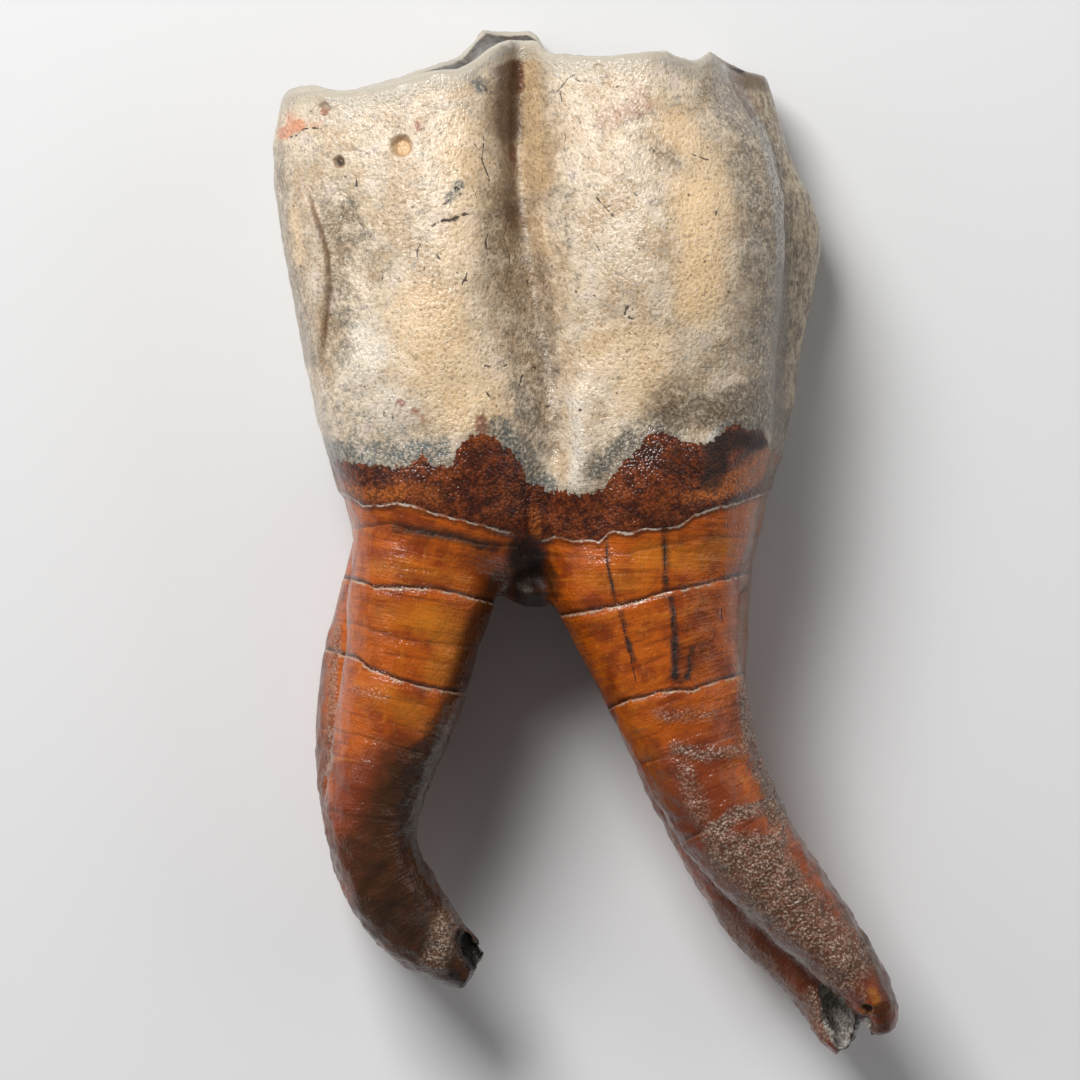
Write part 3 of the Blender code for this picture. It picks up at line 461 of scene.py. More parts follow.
# Dark hairline cracks: path (across, height), half width.
CRACKS = (
    (((-15.8, 30.9), (-14.9, 31.6), (-13.9, 31.9), (-12.9, 32.1), (-12.3, 32.5), (-11, 32.6)), 0.19),
    (((-16.3, 29.9), (-16.8, 28.9), (-16.7, 27.8)), 0.08),
    (((-10.4, 41.5), (-10.1, 40.2), (-10.3, 38), (-9.6, 36.2), (-9.7, 34.6)), 0.055),
    (((-11.8, 40.4), (-10.9, 39.4), (-10.4, 38.8)), 0.05),
    (((-12.2, 36), (-11.2, 35.2), (-10.6, 33.6)), 0.045),
    (((-9.6, 31), (-9.9, 29.6), (-9.7, 28.2)), 0.055),
    (((-7.9, 29.6), (-7.5, 28.6), (-7.4, 27.4)), 0.05),
    (((-9.4, 26), (-9.9, 24.6)), 0.05),
    (((-3.4, 44.4), (-2.7, 44.9), (-1.7, 46.2), (-0.4, 46.8)), 0.055),
    (((-2.6, 45), (-2.3, 43.9), (-1.7, 43.2)), 0.05),
    (((-1.2, 46.2), (-0.2, 45.7)), 0.05),
    (((-2.2, 41.2), (-1.9, 40.2), (-2.2, 39.4)), 0.045),
    (((1, 29.6), (1.6, 28.6)), 0.05),
    (((6.6, 29), (7.2, 28)), 0.05),
    (((-22.9, 36.4), (-22.8, 35.2)), 0.12),
    (((-20.6, 27), (-20.2, 26.6), (-20.4, 25.8)), 0.06),
    (((-14.9, 28.6), (-14.4, 27.9)), 0.1),
    (((-11.7, 26.9), (-12, 26.1), (-12.4, 25.2)), 0.09),
    (((-12.6, 26.2), (-11.6, 25.8)), 0.07),
    (((-9.9, 30), (-9.8, 28.8)), 0.1),
    (((-13.2, 35.2), (-12.4, 35)), 0.14),
    (((-14.2, 33.4), (-13.4, 34.1)), 0.11),
    (((-30.2, 40.2), (-29, 40.4), (-28.1, 41.1), (-27.2, 41.2), (-26.4, 41.1), (-25.9, 40.6)), 0.08),
    (((8, 48.5), (8.1, 47.2), (8.7, 46)), 0.08),
    (((10.2, 38.8), (11, 38.4), (12, 38.1), (12.7, 37.9)), 0.08),
    (((0.8, 34.6), (1.8, 33.4), (2.6, 32.6), (3.1, 31.8)), 0.09),
    (((1.9, 33), (2.6, 33.4)), 0.07),
    (((4.8, 34.8), (5.3, 34.2)), 0.08),
    (((13.1, 33), (13.1, 32.2)), 0.1),
    (((3.9, 22.3), (4.1, 23.1), (4.6, 23.5)), 0.14),
    (((4.2, 22.3), (4.9, 22)), 0.12),
    (((14.2, 24.8), (14.6, 24.8)), 0.16),
    (((-10.3, 17.5), (-9.2, 17.3)), 0.09),
    (((-8.2, 17.4), (-7.7, 17.5)), 0.09),
    (((-5.5, 17.4), (-4.8, 17.2)), 0.09),
    (((-10, 15), (-9.4, 14.1)), 0.1),
    (((-6.2, 16.8), (-6.6, 15.2)), 0.08),
    (((2.2, -0.1), (2.1, -2), (2.6, -4.1), (3, -6.1)), 0.11),
    (((3.6, -7.2), (3.9, -9), (4.4, -11), (4.7, -12.8), (5.3, -15.3)), 0.08),
    (((7.9, 0.9), (8, -0.3), (8, -2.6), (8.2, -4.9)), 0.1),
    (((8.5, -5.6), (8.9, -7.5), (8.7, -8.7), (9.1, -9.9), (8.9, -11.8), (9.2, -13), (9, -14)), 0.1),
    (((10.7, -11.2), (10.4, -12), (10.6, -12.9), (10.2, -14)), 0.08),
    (((13.7, -6.6), (13.9, -8.7)), 0.07),
)
CRACK_DEPTH = 0.05
CRACK_RAGGEDNESS_SIZE = 0.4

# How near to a crack, a pit or the fold the skin is made finer, once for each figure.
FINER_WITHIN = (0.7, 0.35)

# The seam where the distal root's two lobes meet, low down.
SEAM = (
    (11.3, -34), (13.2, -35.1), (15.6, -36.9), (18.2, -39.5), (20.6, -41.4), (22.6, -43.1), (24.3, -44.2),
)
SEAM_HALF_WIDTH = 0.18

# The skin's lumps, ripples and grains: their size and their rise.
LUMPS = (4.2, 0.16)
RIPPLES = (1.7, 0.1)
GRAINS = (0.75, 0.04)

# Below this height the roots' skin is rough, by this much.
ROUGH_BELOW = -16.0
ROOT_ROUGHNESS = 0.14

# Thickness of the crust, and the rise of grains and of ripples on it and on the broken tips.
CRUST_THICKNESS = 0.1
CRUST_ROUGHNESS = (0.14, 0.07)
BROKEN_ROUGHNESS = (0.24, 0.2)

# Height of the finest relief, which the finish adds.
RELIEF_HEIGHT = 0.3

# ---------------------------------------------------------------- the stage

# The card it lies on, and the lights: name, place, size and watts. These are in metres.
FLOOR_SIZE = 3.0
LIGHTS = (
    ("key_light", (-0.21, 0.36, 0.46), 0.26, 4.1),
    ("left_light", (-0.5, 0.1, 0.4), 0.4, 0.4),
    ("right_light", (0.5, 0.1, 0.35), 0.4, 0.5),
)
WORLD_LIGHT = 0.15


# ---------------------------------------------------------------- shaping

def through(rows, count, closed=False):
    """count samples of a smooth curve through the rows, each a point or a section's figures."""
    rows = np.array(rows, float)
    if closed:
        rows = np.concatenate((rows[-1:], rows, rows[:2]))
        places = np.arange(count) / count * (len(rows) - 3)
    else:
        rows = np.concatenate((2 * rows[:1] - rows[1:2], rows, 2 * rows[-1:] - rows[-2:-1]))
        places = np.linspace(0, len(rows) - 3, count)
    start = np.minimum(places.astype(int), len(rows) - 4)
    share = (places - start)[:, None]
    before, low, high, after = (rows[start + step] for step in range(4))
    bend = 2 * before - 5 * low + 4 * high - after + share * (3 * low - before - 3 * high + after)
    return low + 0.5 * share * (high - before + share * bend)


def at_depth(drawn, depth):
    """Real places (x, y) of points drawn in the view, which lie at this depth."""
    nearness = 1 - (np.asarray(depth) - MID_DEPTH) / VIEW_DISTANCE
    return VIEW_CENTRE + (np.asarray(drawn) - VIEW_CENTRE) * nearness[..., None]


def as_drawn(points):
    """Where real points (x, y, z) lie in the view."""
    nearness = 1 - (points[:, 2] - MID_DEPTH) / VIEW_DISTANCE
    return VIEW_CENTRE + (points[:, :2] - VIEW_CENTRE) / nearness[:, None]


def height_along(line, across):
    return np.interp(across, *np.transpose(line))


def smooth_step(value):
    value = np.clip(value, 0, 1)
    return value * value * (3 - 2 * value)


def nearest_on(path, places, closed=False):
    """From each place (x, y) to a path: the gap, negative on the right side, and how far along it is."""
    path = np.array(path, float)
    ends = np.roll(path, -1, axis=0) if closed else path[1:]
    gaps = np.full(len(places), np.inf)
    along = np.zeros(len(places))
    gone = 0.0
    for start, end in zip(path, ends):
        run = end - start
        length = np.linalg.norm(run)
        out = places - start
        share = np.clip(out @ run / max(length**2, 1e-9), 0, 1)
        gap = np.linalg.norm(out - share[:, None] * run, axis=1)
        nearer = gap < np.abs(gaps)
        side = np.where(run[0] * out[:, 1] - run[1] * out[:, 0] < 0, -1.0, 1.0)
        gaps = np.where(nearer, gap * side, gaps)
        along = np.where(nearer, gone + share * length, along)
        gone += length
    return gaps, along


def gap_to(path, places):
    return np.abs(nearest_on(path, places)[0])


def line_strength(path, places, half_width, fade):
    """1 on the path, 0 beyond half_width of it, fading at its ends over this share of its length."""
    gap, along = nearest_on(path, places)
    length = along.max()
    ends = smooth_step(np.minimum(along, length - along) / (fade * length))
    return (1 - smooth_step(np.abs(gap) / half_width)) * ends


def loft(name, rings):
    """A closed solid through rings of equal point count, with flat ends."""
    form = bmesh.new()
    loops = [[form.verts.new(point * MM) for point in ring] for ring in rings]
    for low, high in zip(loops, loops[1:]):
        for i in range(len(low)):
            form.faces.new((low[i - 1], low[i], high[i], high[i - 1]))
    form.faces.new(reversed(loops[0]))
    form.faces.new(loops[-1])
    bmesh.ops.recalc_face_normals(form, faces=form.faces)
    mesh = bpy.data.meshes.new(name)
    form.to_mesh(mesh)
    form.free()
    made = bpy.data.objects.new(name, mesh)
    bpy.context.scene.collection.objects.link(made)
    return made


def crown_rings():
    rows = [[height, *np.ravel(outline)] for height, outline in sorted(CROWN_OUTLINES.items())]
    rings = []
    for row in through(rows, LEVELS_OF_CROWN):
        height = row[0]
        across, depth = through(row[1:].reshape(-1, 2), AROUND_CROWN, closed=True).T
        left = height_along(MESIAL_EDGE, height)
        right = height_along(DISTAL_EDGE, height)
        across = left + (across - across.min()) * (right - left) / np.ptp(across)
        drawn = np.column_stack((across, np.full_like(across, height)))
        rings.append(np.column_stack((at_depth(drawn, depth), depth)))
    return rings


def root_lobe_rings(stations):
    angles = np.linspace(0, 2 * np.pi, AROUND_ROOT, endpoint=False)
    round_x = np.sign(np.cos(angles)) * np.abs(np.cos(angles)) ** ROOT_SQUARENESS
    round_z = np.sign(np.sin(angles)) * np.abs(np.sin(angles)) ** ROOT_SQUARENESS
    rings = []
    for left_x, left_y, right_x, right_y, middle, half in through(stations, STATIONS_OF_ROOT):
        share = ((1 + round_x) / 2)[:, None]
        drawn = (1 - share) * (left_x, left_y) + share * (right_x, right_y)
        places = at_depth(drawn, np.full(AROUND_ROOT, middle))
        rings.append(np.column_stack((places, middle + half * round_z)))
    return rings


def worn_height(across, depth):
    """Real height of the worn surface, before its dentine is dished, and how far inside the rim it is."""
    drawn = as_drawn(np.column_stack((across, np.zeros_like(across), depth)))[:, 0]
    share = (depth - RIM_DEPTHS[0]) / (RIM_DEPTHS[1] - RIM_DEPTHS[0])
    height = (1 - share) * height_along(LINGUAL_RIM, drawn) + share * height_along(LABIAL_RIM, drawn)
    height = at_depth(np.column_stack((drawn, height)), depth)[:, 1]
    rim = through(CROWN_OUTLINES[47], AROUND_CROWN, closed=True)
    inside = np.abs(nearest_on(rim, np.column_stack((drawn, depth)), closed=True)[0])
    return height, inside


def worn_surface_cutter():
    """Everything above the chewing surface: enamel edges stand proud of dished dentine."""
    columns = np.arange(*CUTTER_ACROSS, CUTTER_STEP)
    rings = []
    for depth in np.arange(*CUTTER_DEPTHS, CUTTER_STEP):
        deep = np.full_like(columns, depth)
        height, inside = worn_height(columns, deep)
        height = height - DENTINE_DISH * smooth_step((inside - ENAMEL_BAND + 0.4) / 0.9)
        low = np.column_stack((columns, height, deep))
        high = np.column_stack((columns[::-1], np.full_like(columns, CUTTER_TOP), deep))
        rings.append(np.concatenate((low, high)))
    return loft("worn_surface", rings)


def select_only(target):
    bpy.ops.object.select_all(action="DESELECT")
    target.select_set(True)
    bpy.context.view_layer.objects.active = target


def egg(place, half_sizes, turn):
    """A rounded lump or hollow: its middle as drawn, its half sizes and its turn in the sheet plane."""
    bpy.ops.object.select_all(action="DESELECT")
    bpy.ops.mesh.primitive_uv_sphere_add(segments=28, ring_count=18, radius=MM)
    made = bpy.context.object
    x, y = at_depth(place[:2], np.array(place[2]))
    made.location = (x * MM, y * MM, place[2] * MM)
    made.scale = half_sizes
    made.rotation_euler = (0, 0, np.radians(turn))
    return made


def join_or_cut(target, other, operation):
    select_only(target)
    boolean = target.modifiers.new(other.name, "BOOLEAN")
    boolean.operation = operation
    boolean.solver = "EXACT"
    boolean.object = other
    bpy.ops.object.modifier_apply(modifier=boolean.name)
    bpy.data.objects.remove(other)


def ledge_profile(above, depth):
    """A V-shaped ledge at 0: the surface above rolls in to it, and a lip stands out just below."""
    rolled = np.exp(-np.maximum(above, 0) / 0.8)
    lip = 0.55 * np.exp(np.minimum(above + 0.3, 0) / 1.6)
    return depth * np.where(above > 0, -rolled, lip - (1.55 * smooth_step((above + 0.4) / 0.4)))


def surface_of(target):
    """Real points and normals of a mesh, in millimetres."""
    mesh = target.data
    points = np.empty(len(mesh.vertices) * 3)
    normals = np.empty_like(points)
    mesh.vertices.foreach_get("co", points)
    mesh.vertices.foreach_get("normal", normals)
    return points.reshape(-1, 3) / MM, normals.reshape(-1, 3)


def noise_at(points, size, seed=0.0):
    """Perlin noise, from -1 to 1, with lumps of this size."""
    shift = Vector((seed, seed * 1.7, seed * 2.3))
    return np.array([noise.noise(Vector(point) / size + shift) for point in points])


def height_between(labial_line, lingual_line, across, depth):
    labial = smooth_step((depth - 9) / 8)
    return labial * height_along(labial_line, across) + (1 - labial) * height_along(lingual_line, across)


def nearest_ledge(across, height):
    """For each point: signed height above its nearest ledge, that ledge's depth and its paleness."""
    best = np.full(len(across), 9.0)
    depth = np.zeros(len(across))
    pale_and_highlight = np.zeros(len(across))
    for ledges, own in ((MESIAL_LEDGES, across < ROOT_SPLIT), (DISTAL_LEDGES, across >= ROOT_SPLIT)):
        for line, line_depth, paleness in ledges:
            above = height - height_along(line, across)
            nearer = own & (np.abs(above) < np.abs(best))
            best = np.where(nearer, above, best)
            depth = np.where(nearer, line_depth, depth)
            pale_and_highlight = np.where(nearer, paleness, pale_and_highlight)
    return best, depth, pale_and_highlight


def painted(kind, drawn):
    """How strongly the soft stains of one kind lie on each place, from 0 to 1."""
    bare = np.ones(len(drawn))
    for path, half_width, strength in STAINS[kind]:
        bare *= 1 - strength * (1 - smooth_step((gap_to(path, drawn) / half_width - STAIN_CORE) / STAIN_EDGE))
    return 1 - bare


def refine(target):
    """Makes the skin finer at the cracks, the fold and the pits of the labial side."""
    for within in FINER_WITHIN:
        points, normals = surface_of(target)
        drawn = as_drawn(points)
        gap = np.full(len(points), 9.0)
        for path, half_width in CRACKS:
            gap = np.minimum(gap, gap_to(path, drawn))
        gap = np.minimum(gap, gap_to(FOLD, drawn))
        for place, radius, _, _ in PITS:
            gap = np.minimum(gap, np.linalg.norm(drawn - place, axis=1) - radius)
        chosen = (gap < within) & (points[:, 2] > 8) & (normals[:, 2] > 0)
        skin = bmesh.new()
        skin.from_mesh(target.data)
        edges = [edge for edge in skin.edges if chosen[edge.verts[0].index] and chosen[edge.verts[1].index]]
        bmesh.ops.subdivide_edges(skin, edges=edges, cuts=1, use_grid_fill=True, smooth=1.0)
        skin.to_mesh(target.data)
        skin.free()
        target.data.update()


def root_places(drawn, depth):
    """Across, along and depth on each root, so that its bands follow its bend."""
    places = np.column_stack((drawn, depth))
    mesial = drawn[:, 0] < ROOT_SPLIT
    for name, own in (("mesial_labial", mesial), ("distal_labial", ~mesial)):
        edges = np.array(ROOT_LOBES[name])[:, :4]
        gap, along = nearest_on((edges[:, :2] + edges[:, 2:]) / 2, drawn)
        places[own, 0] = gap[own]
        places[own, 1] = along[own]
    return places


def labial_swell(drawn, facing):
    """How far the broad strokes and the fold lift the labial side, and how strongly the fold shows."""
    swell = np.zeros(len(drawn))
    for path, reach, amount in STROKES:
        swell += facing * amount * line_strength(path, drawn, reach, 0.3)
    gap, along = nearest_on(FOLD, drawn)
    shown = facing * smooth_step(np.minimum(along, along.max() - along) / FOLD_FADE)
    swell += shown * FOLD_RIDGE * np.exp(-(((gap + 0.9) / 0.8) ** 2))
    swell -= shown * FOLD_DROP * smooth_step((gap + 0.6) / 1.1) * np.exp(-np.maximum(gap, 0) / 1.6)
    return swell, shown * np.exp(-np.abs(gap) / np.where(gap > 0, 0.25, 0.6))


def bitten_pits(drawn, facing, ripples, grains):
    """How deep the pits go, how strongly each shows, and the floor of the widest."""
    sunk, shown, floor = np.zeros((3, len(drawn)))
    for place, radius, amount, darkness in PITS:
        away = np.linalg.norm(drawn - place, axis=1) / radius + 0.12 * ripples + 0.25 * grains * (radius < 1)
        sunk += facing * amount * (1 - smooth_step((away - 0.6) / 0.5))
        shown = np.maximum(shown, facing * np.clip(2 - away, 0, 2) * darkness)
        floor = np.maximum(floor, facing * (1 - smooth_step((away - 0.55) / 0.3)) * (radius > 1))
    return sunk, shown, floor


def ragged_cracks(points, drawn, facing):
    """Where the cracks lie. Their width is ragged, and more so on the enamel than on the roots."""
    raggedness = np.where(drawn[:, 1] > 0, 2.6, 1.3) * noise_at(points, CRACK_RAGGEDNESS_SIZE, 9)
    raggedness = np.clip(1.5 + raggedness, 0.15, 3)
    lines = np.zeros(len(points))
    for path, half_width in CRACKS:
        lines = np.maximum(lines, line_strength(path, drawn, half_width * raggedness, 0.2))
    return lines * facing


def broken_tips(points):
    """Where the tips are hollow, which hollows are silvery, and where the broken edges are."""
    hollow, silver, broken = np.zeros((3, len(points)))
    for place, half_sizes, turn in TIP_HOLLOWS:
        x, y = at_depth(place[:2], np.array(place[2]))
        out_x, out_y, out_z = (points - (x, y, place[2])).T
        cosine = np.cos(np.radians(turn))
        sine = np.sin(np.radians(turn))
        local = np.column_stack((out_x * cosine + out_y * sine, out_y * cosine - out_x * sine, out_z))
        away = np.linalg.norm(local / half_sizes, axis=1)
        inner = 1 - smooth_step((away - 1.05) / 0.2)
        hollow = np.maximum(hollow, inner)
        silver = np.maximum(silver, inner * (place[0] > ROOT_SPLIT))
        broken = np.maximum(broken, 1 - smooth_step((away - 1.1) / 0.7))
    return hollow, silver, broken


def carve(target):
    """Moves the surface for its fine relief, and keeps what the finish needs as attributes."""
    points, normals = surface_of(target)
    drawn = as_drawn(points)
    across, height = drawn.T
    depth = points[:, 2]
    facing = smooth_step(normals[:, 2] * 2) * (depth > 8)
    above_neck = height - height_between(LABIAL_NECK, LINGUAL_NECK, across, depth)
    above_stain = height - height_between(LABIAL_STAIN, LINGUAL_STAIN, across, depth)
    above_ledge, ledge_depth, ledge_pale = nearest_ledge(across, height)
    on_root = smooth_step((0.4 - above_neck) / 0.5)
    lumps = noise_at(points, LUMPS[0])
    ripples = noise_at(points, RIPPLES[0])
    grains = noise_at(points, GRAINS[0], 5)
    swell, fold = labial_swell(drawn, facing)
    sunk, pit, pit_floor = bitten_pits(drawn, facing, ripples, grains)
    crack = ragged_cracks(points, drawn, facing)
    crust = painted("crust", drawn) * smooth_step((depth - 6) / 6)
    hollow, silver, broken = broken_tips(points)
    worn, inside_rim = worn_height(points[:, 0], depth)
    on_top = smooth_step((points[:, 1] - worn + DENTINE_DISH + 0.9) / 0.6) * smooth_step(normals[:, 1] * 2.5)
    near_ledge = (1 - smooth_step((np.abs(above_ledge) - 1.0) / 0.4)) * np.minimum(ledge_depth / 0.15, 1)

    rise = NECK_STEP * (smooth_step((above_neck + 0.3) / 0.6) - 0.5) * (1 - smooth_step((above_neck - 4) / 6))
    rise += on_root * ledge_profile(above_ledge, ledge_depth) * (0.2 + 0.8 * smooth_step(normals[:, 2] * 1.6))
    rise -= sunk + CRACK_DEPTH * crack
    rise += LUMPS[1] * lumps + RIPPLES[1] * ripples + GRAINS[1] * grains
    rise += ROOT_ROUGHNESS * smooth_step((ROUGH_BELOW - height) / 8) * (ripples + 0.8 * grains)
    rise += crust * (CRUST_THICKNESS + CRUST_ROUGHNESS[0] * grains + CRUST_ROUGHNESS[1] * ripples)
    rise += broken * (BROKEN_ROUGHNESS[0] * grains + BROKEN_ROUGHNESS[1] * ripples)
    moved = points + normals * rise[:, None]
    moved[:, 2] += swell
    target.data.vertices.foreach_set("co", (moved * MM).ravel())
    target.data.update()

    kept = {
        "sheet": np.column_stack((drawn, depth)),
        "root_place": root_places(drawn, depth),
        "above_neck": above_neck,
        "above_stain": above_stain,
        "above_ledge": above_ledge,
        "ledge_near": on_root * near_ledge,
        "ledge_pale": ledge_pale,
        "inside_rim": inside_rim,
        "on_top": on_top,
        "below_rim": worn - points[:, 1],
        "behind": smooth_step((17.5 - depth) / 3) * smooth_step((across - 13) / 3),
        "hollow": hollow,
        "silver": silver,
        "pit": pit,
        "pit_floor": pit_floor,
        "crack": crack,
        "fold": fold,
        "seam": line_strength(SEAM, drawn, 2 * SEAM_HALF_WIDTH, 0.2) * facing,
    }
    labial = smooth_step((depth - 3.5) / 4)
    for kind in STAINS:
        kept[kind] = painted(kind, drawn) * labial
    for name, values in kept.items():
        keep(target, name, values)


def keep(target, name, values):
    """Stores one figure, or a vector, per vertex."""
    vector = values.ndim == 2
    made = target.data.attributes.new(name, "FLOAT_VECTOR" if vector else "FLOAT", "POINT")
    made.data.foreach_set("vector" if vector else "value", np.ascontiguousarray(values, np.float32).ravel())


def settle(target):
    """Moves the tooth to the middle of the solid's box and down to its floor. Returns the move."""
    low, high = (np.array(corner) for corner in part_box("tooth"))
    points, _ = surface_of(target)
    middle = (points.max(axis=0) + points.min(axis=0)) / 2
    shift = (low + high) / 2 - middle * MM
    shift[2] = low[2] - points[:, 2].min() * MM
    for vertex in target.data.vertices:
        vertex.co += Vector(shift)
    return shift


def make_tooth():
    tooth = loft("fossil_tooth", crown_rings())
    for name, stations in ROOT_LOBES.items():
        join_or_cut(tooth, loft(name, root_lobe_rings(stations)), "UNION")
    join_or_cut(tooth, egg(*ROOT_WEB), "UNION")
    join_or_cut(tooth, worn_surface_cutter(), "DIFFERENCE")
    for hollow in TIP_HOLLOWS:
        join_or_cut(tooth, egg(*hollow), "DIFFERENCE")
    select_only(tooth)
    skin = tooth.modifiers.new("skin", "REMESH")
    skin.mode = "VOXEL"
    skin.voxel_size = SKIN_VOXEL * MM
    even = tooth.modifiers.new("even", "SMOOTH")
    even.factor = 0.5
    even.iterations = 4
    for modifier in (skin, even):
        bpy.ops.object.modifier_apply(modifier=modifier.name)
    refine(tooth)
    carve(tooth)
    shift = settle(tooth)
    for face in tooth.data.polygons:
        face.use_smooth = True
    return tooth, shift


# ---------------------------------------------------------------- finish

def linear(hex_colour):
    """An sRGB colour such as "#e6d2b4" as linear RGBA."""
    parts = [int(hex_colour[i : i + 2], 16) / 255 for i in (1, 3, 5)]
    return tuple(c / 12.92 if c <= 0.04045 else ((c + 0.055) / 1.055) ** 2.4 for c in parts) + (1.0,)


class Look:
    """The tooth's node tree, and the patterns that its colours, gloss and relief share."""

    def __init__(self, tree):
        self.tree = tree
        self.sheet = self.kept("sheet", "Vector")
        root = self.kept("root_place", "Vector")
        # Mineral blotches 3.4 and 1.1 mm wide, enamel wrinkles 0.34 mm and beads 0.32 mm wide,
        # streaks 0.55 mm wide down the tooth, and growth bands 0.8 mm high round each root.
        self.blotch = self.noise(self.sheet, 3.4, 2.0)
        self.fine_blotch = self.noise(self.sheet, 1.1, 3.0, 0.65, shift=7)
        self.rugosity = self.noise(self.sheet, 0.34, 2.0, 0.6, (1, 1.2, 1))
        self.grain = self.plus(self.times(self.beads(0.32), 0.45), self.times(self.rugosity, 0.9))
        self.streaky = self.noise(self.sheet, 0.55, 2.0, 0.65, (1, 4.5, 1.5), shift=3)
        self.bands = self.noise(root, 0.8, 2.0, 0.65, (9, 1, 9), shift=5)
        self.jitter = self.minus(self.fine_blotch, 0.5)
        self.fine_jitter = self.minus(self.rugosity, 0.5)
        self.behind = self.kept("behind")
        self.hollow = self.kept("hollow")

    def add(self, kind, links, **settings):
        """Adds a node. links gives each input, by name or number, a socket, a figure or a hex colour."""
        made = self.tree.nodes.new(kind)
        for name, value in settings.items():
            setattr(made, name, value)
        for name, value in links.items():
            if isinstance(value, bpy.types.NodeSocket):
                self.tree.links.new(value, made.inputs[name])
            else:
                made.inputs[name].default_value = linear(value) if isinstance(value, str) else value
        return made

    def kept(self, name, output="Fac"):
        """What the mesh keeps under this name."""
        return self.add("ShaderNodeAttribute", {}, attribute_name=name).outputs[output]

    def combine(self, operation, first, second=0.0):
        return self.add("ShaderNodeMath", {0: first, 1: second}, operation=operation).outputs[0]

    def times(self, *values):
        return functools.reduce(functools.partial(self.combine, "MULTIPLY"), values)

    def plus(self, *values):
        return functools.reduce(functools.partial(self.combine, "ADD"), values)

    def minus(self, first, second):
        return self.combine("SUBTRACT", first, second)

    def ease(self, value, low, high, out_low=0.0, out_high=1.0):
        """Eases a value from one range to another."""
        links = {"Value": value, "From Min": low, "From Max": high, "To Min": out_low, "To Max": out_high}
        return self.add("ShaderNodeMapRange", links, interpolation_type="SMOOTHSTEP").outputs[0]

    def over(self, below, above, amount):
        """Lays one colour over another."""
        return self.add("ShaderNodeMix", {"Factor": amount, 6: below, 7: above}, data_type="RGBA").outputs[2]

    def paint(self, colour, *layers):
        """Lays colours over one, each as a value eases between two figures, up to a strength."""
        for above, value, low, high, strength in layers:
            colour = self.over(colour, above, self.ease(value, low, high, 0.0, strength))
        return colour

    def stain(self, name, wander):
        """A kind of stain, with edges that wander this far with the fine blotches."""
        return self.plus(self.kept(name), self.times(self.jitter, wander))

    def noise(self, place, size, detail, roughness=0.6, stretch=(1, 1, 1), shift=0.0):
        """Noise with lumps this many millimetres wide, longer by stretch."""
        scale = tuple(1 / (size * part) for part in stretch)
        links = {"Vector": place, "Scale": scale, "Location": (shift, shift, shift)}
        placed = self.add("ShaderNodeMapping", links).outputs[0]
        links = {"Vector": placed, "Scale": 1.0, "Detail": detail, "Roughness": roughness}
        return self.add("ShaderNodeTexNoise", links).outputs["Fac"]

    def beads(self, size):
        """Round beads this many millimetres wide, 1 on their tops and 0 between them."""
        placed = self.add("ShaderNodeMapping", {"Vector": self.sheet, "Scale": (1 / size,) * 3}).outputs[0]
        cells = self.add("ShaderNodeTexVoronoi", {"Vector": placed, "Scale": 1.0}, feature="F1")
        return self.ease(cells.outputs["Distance"], 0.8, 0.0)


